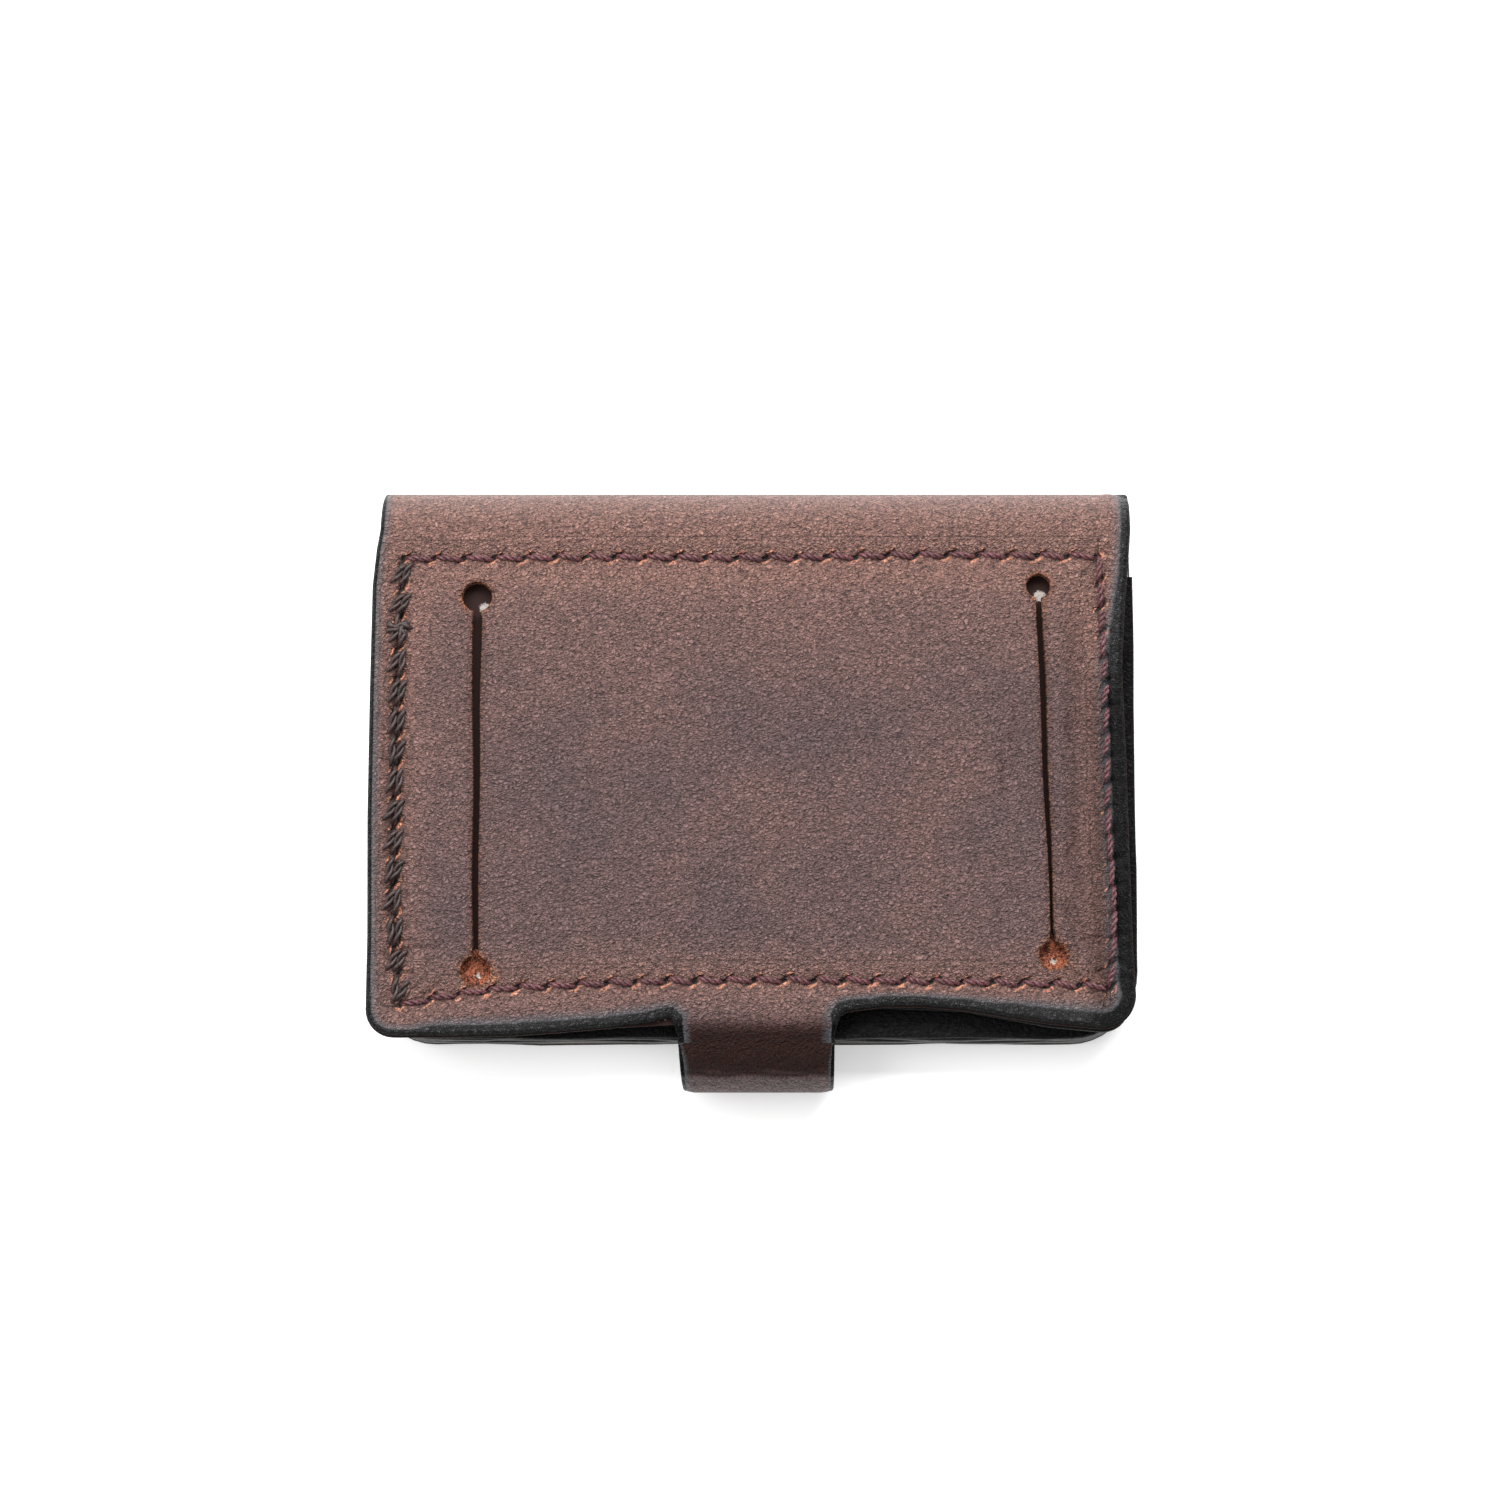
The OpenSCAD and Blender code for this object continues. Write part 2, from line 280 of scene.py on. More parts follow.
def sewn_layer(name, finish, loops, bend, top, thickness, edge_r, spacing, relief=None, back_spacing=3.0,
               colours=None, fine=None, stitch=None):
    """A layer of leather or lining as one closed shell: a shaped face, rounded edges and a plain back.
    edge_r is how far each edge is rounded, as a number or from its points. relief(points) is how far the
    face stands out. colours and stitch give the values that the finish reads at each point."""
    loops = [resampled(np.array(loop, float), OUTLINE_STEP) for loop in loops]
    for i, loop in enumerate(loops):
        x, y = loop.T
        area = 0.5 * np.sum(x * np.roll(y, -1) - np.roll(x, -1) * y)
        if (area > 0) != (i == 0):
            loops[i] = loop[::-1]
    normals = []
    for loop in loops:
        run = np.roll(loop, -1, axis=0) - np.roll(loop, 1, axis=0)
        n = np.stack([run[:, 1], -run[:, 0]], 1)
        normals.append(n / np.maximum(np.hypot(*n.T)[:, None], 1e-9))
    edge = [edge_r(loop) if callable(edge_r) else np.full(len(loop), edge_r) for loop in loops]
    inner = [loop - n * e[:, None] for loop, n, e in zip(loops, normals, edge)]
    face, face_tris = triangles(inner, spacing, fine)
    back, back_tris = triangles(inner, back_spacing)
    border_count = sum(len(loop) for loop in inner)
    rise = relief(face) if relief else np.zeros(len(face))
    border_rise = rise[:border_count]
    border = np.vstack(inner)
    border_n = np.vstack(normals)
    border_e = np.concatenate(edge)

    verts = [bend(face[:, 0], face[:, 1], top - rise)]
    flat = [np.column_stack([face, np.full(len(face), top)])]
    wall = [np.zeros(len(face))]
    steps = [15, 35, 60, 90, 90, 120, 145, 165]
    nominal = min(float(border_e.max()), thickness * 0.48)
    for k, angle in enumerate(steps):
        reach = math.sin(math.radians(angle))
        if angle <= 90 and k < 4:
            down = nominal * (1 - math.cos(math.radians(angle)))
        else:
            down = thickness - nominal * (1 - math.cos(math.radians(180 - angle)))
        p = border + border_n * (border_e * reach)[:, None]
        share = 1 - down / thickness
        depth = top + down - border_rise * share
        verts.append(bend(p[:, 0], p[:, 1], depth))
        flat.append(np.column_stack([p, np.full(len(p), top + down)]))
        wall.append(np.full(len(p), min(1.0, 0.35 + down / thickness)))
    verts.append(bend(back[:, 0], back[:, 1], np.full(len(back), top + thickness)))
    flat.append(np.column_stack([back, np.full(len(back), top + thickness)]))
    wall.append(np.full(len(back), 0.0))

    faces = [tuple(t) for t in face_tris]
    starts = [0, len(face)]
    for _ in steps[:-1]:
        starts.append(starts[-1] + border_count)
    starts.append(starts[-1] + border_count)
    offset = 0
    for loop in inner:
        n = len(loop)
        for a, b in zip(starts[:-1], starts[1:]):
            for i in range(n):
                p, q = offset + i, offset + (i + 1) % n
                faces.append((a + p, b + p, b + q, a + q))
        offset += n
    faces += [tuple(starts[-1] + i for i in reversed(t)) for t in back_tris]

    mesh = bpy.data.meshes.new(name)
    places = np.vstack(verts) * MM
    flat = np.vstack(flat)
    mesh.from_pydata(places.tolist(), [], faces)
    wall = np.concatenate(wall)
    note_on(mesh, "hide_mm", flat)
    note_on(mesh, "cut_edge", wall)
    for key, function in (colours or {}).items():
        note_on(mesh, key, function(flat[:, :2], wall))
    if stitch:
        note_on(mesh, "stitch", stitch(flat[:, :2]))
    mesh.validate()
    mesh.shade_smooth()
    mesh.set_sharp_from_angle(angle=math.radians(55))
    turn_out(mesh)
    mesh.materials.append(finish)
    return in_scene(name, mesh)


def turn_out(mesh):
    """Turns the faces round if they point inwards, told by the sign of the enclosed volume: every layer
    is made looking up, and one that is bent under comes out turned."""
    mesh.calc_loop_triangles()
    co = np.array([v.co for v in mesh.vertices])
    tris = np.array([t.vertices for t in mesh.loop_triangles])
    a, b, c = co[tris[:, 0]], co[tris[:, 1]], co[tris[:, 2]]
    if np.einsum("ij,ij->i", a, np.cross(b, c)).sum() < 0:
        mesh.flip_normals()


# ---- Finishes ----

def new_material(name):
    made = bpy.data.materials.new(name)
    made.use_nodes = True
    tree = made.node_tree
    return made, tree, tree.nodes["Principled BSDF"].inputs


def pebble_height(tree, place, size_mm):
    """Pebbled grain: small pebbles drawn out along the hide's lie, with creases that wander between."""
    shift = node(tree, NOISE, {"Vector": place, "Scale": 0.8, "Detail": 2.0}, out=1)
    moved = node(tree, VECTOR_MATH, {0: shift, 1: (1.4, 1.4, 0.0), 2: place}, **ADD_TO)
    lie = node(tree, "ShaderNodeMapping",
               {"Vector": moved, "Rotation": (0, 0, math.radians(-32)),
                "Scale": (0.62 / size_mm, 1 / size_mm, 0.1)})
    cells = node(tree, "ShaderNodeTexVoronoi", {"Vector": lie, "Scale": 1.0, "Randomness": 1.0},
                 feature="DISTANCE_TO_EDGE")
    return node(tree, RANGE, {0: cells, 1: 0.0, 2: 0.3})


def leaf(tree, across, down, centre, half):
    """How far a place is from a leaf shape that leans like the awl's cut: below 1 inside it."""
    lean = node(tree, "ShaderNodeVectorRotate",
                {"Vector": node(tree, COMBINE, {0: across, 1: down}), "Angle": math.radians(30)},
                rotation_type="Z_AXIS")
    moved = node(tree, VECTOR_MATH, {0: lean, 1: (*centre, 0)}, operation="SUBTRACT")
    scaled = node(tree, VECTOR_MATH, {0: moved, 1: (1 / half[0], 1 / half[1], 0)}, **TIMES)
    return node(tree, VECTOR_MATH, {0: scaled}, out="Value", operation="LENGTH")


def outer_leather():
    """Vegetable-tanned cowhide, dyed reddish brown and waxed by hand: a satin sheen over a pebbled grain,
    colour that is lighter and redder towards the fold, which is painted light, and along the seams, and
    greyer where it was handled, painted shade in the tab's bend, creases, hollow, slits and awl slots, torn
    orange fibres at each awl hole, and black paint on the cut edges with a painted grey-blue sheen beyond
    it.
    The real grain is about 0.3 mm and too fine to show, so it is drawn at 0.42 mm."""
    made, tree, shader = new_material("veg_tan_hide_brown")
    place = node(tree, ATTRIBUTE, out="Vector", attribute_name="hide_mm")
    edge, warm, raw, dark, wall = [node(tree, ATTRIBUTE, out="Fac", attribute_name=name)
                                   for name in ("edge_share", "warm", "raw", "dark", "cut_edge")]
    cloud = node(tree, NOISE, {"Vector": place, "Scale": 1 / 18, "Detail": 4.0})
    mottle = node(tree, NOISE, {"Vector": place, "Scale": 1 / 2.0, "Detail": 3.0})
    fine = node(tree, NOISE, {"Vector": place, "Scale": 1 / 0.5, "Detail": 1.5, "Distortion": 0.5})
    fleck = node(tree, NOISE, {"Vector": place, "Scale": 1 / 0.5, "Detail": 2.0, "Distortion": 0.6})
    grain = pebble_height(tree, place, 0.42)
    # Dye: clouded over the hide, lighter and redder where warm (painted light towards the fold), deeper in
    # the grain's creases and pores, and darker where dark, which is mostly painted shade
    share = node(tree, RANGE, {0: cloud, 1: 0.38, 2: 0.64})
    body = node(tree, MIX, {0: share, 6: linear("#6d5555"), 7: linear("#81615c")}, **COLOUR)
    blotch = node(tree, RANGE, {0: mottle, 1: 0.35, 2: 0.75, 4: 0.3})
    crease = node(tree, RANGE, {0: grain, 1: 0.0, 2: 0.7, 3: 0.35, 4: 0.0})
    pore = node(tree, RANGE, {0: fine, 1: 0.5, 2: 0.37, 4: 0.6})
    for share, colour in ((warm, "#9c7368"), (blotch, "#432d2e"), (crease, "#1c0f0f"), (pore, "#221314"),
                          (dark, "#1e0b07")):
        body = node(tree, MIX, {0: share, 6: body, 7: linear(colour)}, **COLOUR)
    # Raw fibres in the punched holes
    share = node(tree, RANGE, {0: fleck, 1: 0.42, 2: 0.6})
    orange = node(tree, MIX, {0: share, 6: linear("#4a1f14"), 7: linear("#d58a58")}, **COLOUR)
    share = node(tree, RANGE, {0: mottle, 1: 0.3, 2: 0.6, 3: 0.35, 4: 1.0})
    share = node(tree, MATH, {0: raw, 1: share}, **TIMES)
    body = node(tree, MIX, {0: share, 6: body, 7: orange}, **COLOUR)
    # Each awl slot is a dark leaf of painted shade, with torn fibres along its lower lip
    stitch = node(tree, ATTRIBUTE, out="Vector", attribute_name="stitch")
    seam = node(tree, "ShaderNodeSeparateXYZ", {0: stitch}, out=None).outputs
    wander = node(tree, NOISE, {"Vector": place, "Scale": 1 / 0.9, "Detail": 2.0})
    wander = node(tree, MATH, {0: wander, 1: 0.6, 2: -0.3}, **ADD_TO)
    step = node(tree, MATH, {0: seam[0], 1: 0.5}, operation="ADD")
    step = node(tree, MATH, {0: step}, operation="FRACT")
    step = node(tree, MATH, {0: step, 1: 0.5}, operation="SUBTRACT")
    across = node(tree, MATH, {0: step, 1: 4.3, 2: wander}, **ADD_TO)
    down = node(tree, MATH, {0: seam[1], 1: wander}, operation="ADD")
    gash = node(tree, RANGE,
                {0: leaf(tree, across, down, (0.1, 0.0), (1.55, 0.33)), 1: 0.6, 2: 1.15, 3: 1.0, 4: 0.0})
    lower = leaf(tree, across, down, (-0.4, 0.5), (1.1, 0.3))
    upper = leaf(tree, across, down, (1.0, -0.4), (0.6, 0.18))
    fibre = node(tree, MATH, {0: lower, 1: upper}, operation="MINIMUM")
    fibre = node(tree, RANGE, {0: fibre, 1: 0.5, 2: 1.2, 3: 0.95, 4: 0.0})
    share = node(tree, RANGE, {0: fleck, 1: 0.38, 2: 0.52})
    torn = node(tree, MATH, {0: fibre, 1: share}, **TIMES)
    # Paint on the cut edge: solid up to a share of 1, then a short grey band, partly thin paint and partly
    # painted reflection, and beyond it a painted blue-grey sheen
    ragged = node(tree, MATH, {0: mottle, 1: -0.25, 2: edge}, **ADD_TO)
    wash_and_sheen = node(tree, RANGE, {0: ragged, 1: 0.8, 2: 1.25, 3: 0.7, 4: 0.0})
    paint = node(tree, RANGE, {0: ragged, 1: 0.7, 2: 0.88, 3: 1.0, 4: 0.0})
    speck = node(tree, RANGE, {0: fleck, 1: 0.66, 2: 0.76, 4: 0.3})
    painted_sheen = node(tree, RANGE, {0: ragged, 1: 1.0, 2: 2.9, 3: 0.6, 4: 0.0})
    for share, colour in ((torn, "#d68f70"), (gash, "#140807"), (wash_and_sheen, "#33343a"), (painted_sheen, "#565a60")):
        body = node(tree, MIX, {0: share, 6: body, 7: linear(colour)}, **COLOUR)
    black = node(tree, MIX, {0: speck, 6: linear("#070708"), 7: linear("#6b6663")}, **COLOUR)
    body = node(tree, MIX, {0: paint, 6: body, 7: black}, **COLOUR)
    rough = node(tree, MATH, {0: mottle, 1: 0.2, 2: 0.4}, **ADD_TO)
    rough = node(tree, MATH, {0: paint, 1: -0.12, 2: rough}, **ADD_TO)
    # Cut walls and the darkened places, mostly painted shade, are dull
    dull = node(tree, MATH, {0: dark, 1: wall}, operation="MAXIMUM")
    gloss = node(tree, RANGE, {0: dull, 1: 0.0, 2: 0.7, 3: 0.5, 4: 0.06})
    gloss = node(tree, MATH, {0: paint, 1: -0.12, 2: gloss}, **ADD_TO)
    # Short puckers run away from the seam on both sides
    stretched = node(tree, VECTOR_MATH, {0: stitch, 1: (9.5, 0.5, 0.0)}, **TIMES)
    pucker = node(tree, NOISE, {"Vector": stretched, "Scale": 1.0, "Detail": 1.0})
    pucker = node(tree, MATH, {0: pucker, 1: 0.5, 2: 0.06}, operation="COMPARE")
    away = node(tree, MATH, {0: seam[1]}, operation="ABSOLUTE")
    close = node(tree, RANGE, {0: away, 1: 0.8, 2: 2.4, 3: 1.0, 4: 0.0})
    fold = node(tree, MATH, {0: pucker, 1: close}, **TIMES)
    height = node(tree, MATH, {0: fine, 1: 2.6, 2: grain}, **ADD_TO)
    flatten = node(tree, MATH, {0: paint, 1: -0.5, 2: 1.0}, **ADD_TO)
    height = node(tree, MATH, {0: height, 1: flatten}, **TIMES)
    height = node(tree, MATH, {0: fold, 1: -2.2, 2: height}, **ADD_TO)
    height = node(tree, MATH, {0: gash, 1: -3.0, 2: height}, **ADD_TO)
    small = node(tree, BUMP, {"Height": height, "Strength": 1.0, "Distance": 0.00034})
    swell = node(tree, NOISE, {"Vector": place, "Scale": 1 / 5.0, "Detail": 3.0})
    large = node(tree, BUMP, {"Height": swell, "Strength": 0.6, "Distance": 0.0004, "Normal": small})
    plug(tree, shader, {"Base Color": body, "Roughness": rough, "Specular IOR Level": gloss,
                        "Normal": large, "IOR": 1.5, "Sheen Weight": 0.04})
    return made


def inner_leather():
    """Thin calf leather, dyed through: darker and more matt than the outside, with a finer grain, and
    blackened where it runs out to the cut: by the edge paint, and at the pocket's mouth also by painted
    shade."""
    made, tree, shader = new_material("calf_lining_brown")
    place = node(tree, ATTRIBUTE, out="Vector", attribute_name="hide_mm")
    inward = node(tree, ATTRIBUTE, out="Fac", attribute_name="edge_share")
    cloud = node(tree, NOISE, {"Vector": place, "Scale": 1 / 12, "Detail": 4.0})
    grain = pebble_height(tree, place, 0.6)
    share = node(tree, RANGE, {0: cloud, 1: 0.3, 2: 0.7})
    body = node(tree, MIX, {0: share, 6: linear("#3c2622"), 7: linear("#4b312b")}, **COLOUR)
    share = node(tree, RANGE, {0: grain, 1: 0.0, 2: 0.5, 3: 0.5, 4: 0.0})
    body = node(tree, MIX, {0: share, 6: body, 7: linear("#1f1210")}, **COLOUR)
    # Black edge paint near the cut; at the pocket's mouth, painted shade in the gap under the lid
    black = node(tree, RANGE, {0: inward, 1: 0.9, 2: 1.1, 3: 1.0, 4: 0.0})
    body = node(tree, MIX, {0: black, 6: body, 7: linear("#0b090a")}, **COLOUR)
    gloss = node(tree, RANGE, {0: black, 3: 0.3, 4: 0.1})
    bump = node(tree, BUMP, {"Height": grain, "Strength": 1.0, "Distance": 0.00012})
    plug(tree, shader, {"Base Color": body, "Roughness": 0.55, "Specular IOR Level": gloss, "Normal": bump})
    return made


def edge_leather():
    """Stacked leather with a burnished, painted edge: near black, waxy, with fine lines along the layers
    and paler specks where fibres broke through."""
    made, tree, shader = new_material("burnished_edge_black")
    place = node(tree, ATTRIBUTE, out="Vector", attribute_name="hide_mm")
    layered = node(tree, VECTOR_MATH, {0: place, 1: (1, 1, 4)}, **TIMES)
    grain = node(tree, NOISE, {"Vector": layered, "Scale": 1 / 0.9, "Detail": 3.0})
    speck = node(tree, NOISE, {"Vector": place, "Scale": 1 / 0.5, "Detail": 1.0})
    speck = node(tree, RANGE, {0: speck, 1: 0.7, 2: 0.78, 4: 0.3})
    body = node(tree, MIX, {0: grain, 6: linear("#0a0909"), 7: linear("#1a1817")}, **COLOUR)
    body = node(tree, MIX, {0: speck, 6: body, 7: linear("#77706a")}, **COLOUR)
    rough = node(tree, RANGE, {0: grain, 1: 0.3, 2: 0.7, 3: 0.36, 4: 0.55})
    bump = node(tree, BUMP, {"Height": grain, "Strength": 0.6, "Distance": 0.0001})
    plug(tree, shader, {"Base Color": body, "Roughness": rough, "Specular IOR Level": 0.2, "Normal": bump})
    return made


def lining_cloth():
    """Thin silvery grey lining leather, split and brushed: pale and matt, with a faint nap. Round the
    punched holes it is covered in torn orange fibres, and painted shade darkens it in the slits and the
    upper holes."""
    made, tree, shader = new_material("split_lining_grey")
    place = node(tree, ATTRIBUTE, out="Vector", attribute_name="hide_mm")
    stain, dark, wall = [node(tree, ATTRIBUTE, out="Fac", attribute_name=name)
                         for name in ("stain", "dark", "cut_edge")]
    depth = node(tree, "ShaderNodeSeparateXYZ", {0: place}, out=2)
    shown = node(tree, RANGE, {0: depth, 1: SKIN_T + 0.1, 2: SKIN_T + 0.2, 3: 1.0, 4: 0.0})
    nap = node(tree, NOISE, {"Vector": place, "Scale": 1 / 0.4, "Detail": 3.0})
    cloud = node(tree, NOISE, {"Vector": place, "Scale": 1 / 9, "Detail": 3.0})
    body = node(tree, MIX, {0: nap, 6: linear("#96918a"), 7: linear("#c6c2bb")}, **COLOUR)
    share = node(tree, RANGE, {0: cloud, 1: 0.35, 2: 0.7, 4: 0.4})
    body = node(tree, MIX, {0: share, 6: body, 7: linear("#8d8580")}, **COLOUR)
    share = node(tree, RANGE, {0: wall, 1: 0.2, 2: 0.6, 4: 0.85})
    body = node(tree, MIX, {0: share, 6: body, 7: linear("#2a2827")}, **COLOUR)
    tuft = node(tree, NOISE, {"Vector": place, "Scale": 1 / 0.4, "Detail": 4.0, "Distortion": 1.5})
    tuft = node(tree, RANGE, {0: tuft, 1: 0.42, 2: 0.62})
    fibre = node(tree, MIX, {0: tuft, 6: linear("#34150e"), 7: linear("#b5694a")}, **COLOUR)
    # The borders of the stain and the painted shade are ragged, following the fibres
    share = node(tree, MATH, {0: tuft, 1: -0.5, 2: stain}, **ADD_TO)
    share = node(tree, RANGE, {0: share, 1: -0.1, 2: 0.25})
    share = node(tree, MATH, {0: share, 1: shown}, **TIMES)
    body = node(tree, MIX, {0: share, 6: body, 7: fibre}, **COLOUR)
    # Painted shade in the slits and the upper holes; also darker near the lining's edge
    share = node(tree, MATH, {0: tuft, 1: -0.3, 2: dark}, **ADD_TO)
    share = node(tree, RANGE, {0: share, 1: 0.25, 2: 0.5})
    share = node(tree, MATH, {0: share, 1: shown}, **TIMES)
    body = node(tree, MIX, {0: share, 6: body, 7: linear("#240f0a")}, **COLOUR)
    bump = node(tree, BUMP, {"Height": nap, "Strength": 0.4, "Distance": 0.00005})
    plug(tree, shader, {"Base Color": body, "Roughness": 0.7, "Specular IOR Level": 0.2, "Normal": bump})
    return made


def thread_finish(name, light, deep):
    """Waxed two-ply linen thread: a dull sheen on each ply, with fine fibres along the twist."""
    made, tree, shader = new_material(name)
    coords = node(tree, "ShaderNodeTexCoord", out="Object")
    fibre = node(tree, NOISE, {"Vector": coords, "Scale": 3200.0, "Detail": 2.0})
    tone = node(tree, NOISE, {"Vector": coords, "Scale": 160.0, "Detail": 2.0})
    share = node(tree, RANGE, {0: fibre, 1: 0.35, 2: 0.65})
    body = node(tree, MIX, {0: share, 6: linear(deep), 7: linear(light)}, **COLOUR)
    share = node(tree, RANGE, {0: tone, 1: 0.4, 2: 0.7, 4: 0.5})
    body = node(tree, MIX, {0: share, 6: body, 7: linear(deep)}, **COLOUR)
    bump = node(tree, BUMP, {"Height": fibre, "Strength": 0.4, "Distance": 0.00005})
    plug(tree, shader, {"Base Color": body, "Roughness": 0.5, "Normal": bump})
    return made


def nickel():
    """Nickel-plated steel rod: bright, with fine turning marks."""
    made, tree, shader = new_material("nickel_plated_steel")
    coords = node(tree, "ShaderNodeTexCoord", out="Object")
    marks = node(tree, NOISE, {"Vector": coords, "Scale": 1500.0})
    tone = node(tree, MIX, {0: marks, 6: linear("#b9b9bb"), 7: linear("#d2d1cf")}, **COLOUR)
    rough = node(tree, RANGE, {0: marks, 1: 0.3, 2: 0.7, 3: 0.18, 4: 0.34})
    plug(tree, shader, {"Base Color": tone, "Roughness": rough, "Metallic": 1.0})
    return made


OUTER = outer_leather()
INNER = inner_leather()
EDGE = edge_leather()
LINING = lining_cloth()
THREAD = thread_finish("waxed_linen_plum", "#74454a", "#34191d")
DARK_THREAD = thread_finish("waxed_linen_black", "#45322f", "#170f0f")
NICKEL = nickel()


# ---- Lines drawn on the lid before it is cut and sewn ----

TOP_SEAM = [(-50.3, 29.6), (-20.0, 29.9), (0.0, 29.7), (25.0, 30.2), (49.6, 30.0)]
RIGHT_SEAM = [(49.7, 30.0), (50.4, 12.0), (50.6, -8.0), (51.4, -22.0), (50.7, -32.6)]
MOUTH_SEAM = [(50.6, -32.4), (40.0, -31.9), (20.0, -31.5), (0.0, -31.4), (-15.0, -31.6),
              (-36.0, -32.6), (-43.0, -33.6), (-50.0, -35.0)]
LEFT_SEAM = [(-50.0, -35.0), (-51.2, -20.0), (-51.0, 0.0), (-50.8, 18.0), (-50.3, 29.6)]
FRAME_SEAM = TOP_SEAM + RIGHT_SEAM[1:] + MOUTH_SEAM[1:] + LEFT_SEAM[1:]

LEFT_SLIT = [(-39.6, 24.0), (-39.4, -30.1)]
RIGHT_SLIT = [(41.0, 25.6), (42.6, -27.9)]


def seam_places(path, count):
    """The awl holes along a seam, evenly spaced."""
    path = np.array(path, float)
    runs = np.hypot(*np.diff(path, axis=0).T)
    far = np.concatenate([[0], np.cumsum(runs)])
    at = np.linspace(0, far[-1], count + 1)
    return np.stack([np.interp(at, far, path[:, 0]), np.interp(at, far, path[:, 1])], 1)


SEAMS = {
    "top": seam_places(TOP_SEAM, 23),
    "right": seam_places(RIGHT_SEAM, 17),
    "mouth": seam_places(MOUTH_SEAM, 24),
    "left": seam_places(LEFT_SEAM, 15),
}
AWL_HOLES = np.vstack(list(SEAMS.values()))

# The mouth edge of the lid as it was cut by hand: nearly straight at the corners, hollowed beside the tab
LID_EDGE = [(-51.0, -39.25), (-44.0, -39.3), (-34.0, -39.1), (-27.0, -38.6), (-19.0, -37.9), (-14.2, -37.3),
            (13.3, -35.7), (18.5, -35.0), (24.0, -35.0), (30.0, -35.5), (36.0, -36.5), (42.0, -37.4),
            (48.2, -38.0), (49.6, -38.1)]


def slit_loop(ends, left_r, right_r, half_w, seed):
    """The cut round a card slit: a punched hole at each end and a knife cut between them."""
    (ax, ay), (bx, by) = ends
    lean = math.degrees(math.atan2(by - ay, bx - ax)) + 90
    open_up = math.degrees(math.asin(min(0.9, half_w / left_r)))
    upper = arc(ax, ay, left_r, lean - 90 + open_up, lean + 270 - open_up, 22)
    lower = arc(bx, by, right_r, lean + 90 + open_up, lean + 450 - open_up, 22)
    # Walk round the upper hole, down the left side, round the lower hole and back up the right side
    left_side, right_side = [], []
    for t in np.linspace(0.07, 0.93, 40):
        x, y = ax + (bx - ax) * t, ay + (by - ay) * t
        wide = half_w * (1.15 - 0.65 * t) * (1 + 0.12 * math.sin(9 * t + seed))
        left_side.append((x - wide + 0.08 * math.sin(13 * t + seed), y))
        right_side.append((x + wide + 0.08 * math.sin(13 * t + seed + 0.6), y))
    return upper + left_side + lower + right_side[::-1]


LEFT_CUT = slit_loop(LEFT_SLIT, 2.1, 2.05, 0.52, 1.0)
RIGHT_CUT = slit_loop(RIGHT_SLIT, 1.7, 1.95, 0.36, 4.0)


def lid_outline():
    """The lid's skin from the middle of the spine to the start of the tab's bend."""
    points = [(-53.4, SPINE_V), (-53.7, 34.0), (-54.2, 31.0), (-54.7, 26.0), (-54.9, 10.0), (-55.0, -8.0),
              (-54.8, -25.0), (-54.9, -35.4)]
    points += arc(-51.0, -35.4, 3.9, 180, 270, 9)
    points += LID_EDGE[1:6]
    points += [(-12.9, -36.9), (-11.8, -36.7), (-11.2, -37.4), (-10.8, -39.0), (-10.6, TAB_Y)]
    points += [(11.55, TAB_Y), (11.7, -38.6), (12.2, -37.0), (12.6, -36.2)]
    points += LID_EDGE[6:-1]
    points += arc(49.5, -33.3, 4.8, 270, 360, 11)
    points += [(53.9, -25.0), (53.6, -12.0), (53.3, 2.0), (52.9, 14.0), (53.5, 24.0), (54.1, 30.0),
               (54.4, 34.0), (54.4, SPINE_V)]
    return np.array(points, float)


LID_OUTLINE = lid_outline()


def lid_edge_r(points):
    """Rounded where the leather was cut, square where it runs on into the next piece."""
    runs_on = (points[:, 1] > SPINE_V - 0.01) | (points[:, 1] < TAB_Y + 0.01)
    at_cut = slit_distance(points) < 0.05
    return np.where(runs_on, 0.0, np.where(at_cut, 0.16, 0.62))


def lid_cut_distance(points):
    """Distance to the lid's cut outer edge, leaving out the two ends that run on."""
    split = [i for i, p in enumerate(LID_OUTLINE) if abs(p[1] - TAB_Y) < 1e-6]
    first = path_distance(points, LID_OUTLINE[:split[0] + 1])[0]
    second = path_distance(points, LID_OUTLINE[split[1]:])[0]
    return np.minimum(first, second)


def edge_width(points):
    """How far in from the cut the black paint reaches: wide at the mouth and the right."""
    x, y = points.T
    mouth = ease((-31 - y) / 4)
    corner = ease((-44 - x) / 5)
    right = ease((x - 44) / 4)
    side = 0.62 + right * (1.9 - 1.0 * ease((y - 12) / 16))
    return side * (1 - mouth) + mouth * ((1.6 + 0.6 * ease((x - 30) / 12)) * (1 - corner) + 1.0 * corner)


def short_wash_and_sheen(share, amount=1.0):
    """Narrows the grey band of thin paint and painted sheen beyond the solid paint, which ends at a share
    of 1.
    """
    return np.where(share > 1, 1 + (share - 1) * (1 + 1.6 * amount), share)


def lid_edge(points, wall):
    """Distance from the painted edge, as a share of the paint's width."""
    share = lid_cut_distance(points) / edge_width(points)
    at_tab = ease((10.9 - np.abs(points[:, 0] - TAB_X)) / 1.2) * ease((-36 - points[:, 1]) / 2)
    # The grey band and painted sheen beyond the paint are broad on the left side only
    left = ease((-46 - points[:, 0]) / 3) * ease((points[:, 1] + 36) / 4)
    share = short_wash_and_sheen(share, 1 - left)
    share = np.where((wall > 0) & (slit_distance(points) > 0.7), 0.0, share)
    return np.where(slit_distance(points) < 0.7, FAR, share + 1.2 * at_tab)


def slit_distance(points):
    return np.minimum(path_distance(points, LEFT_CUT, True)[0], path_distance(points, RIGHT_CUT, True)[0])


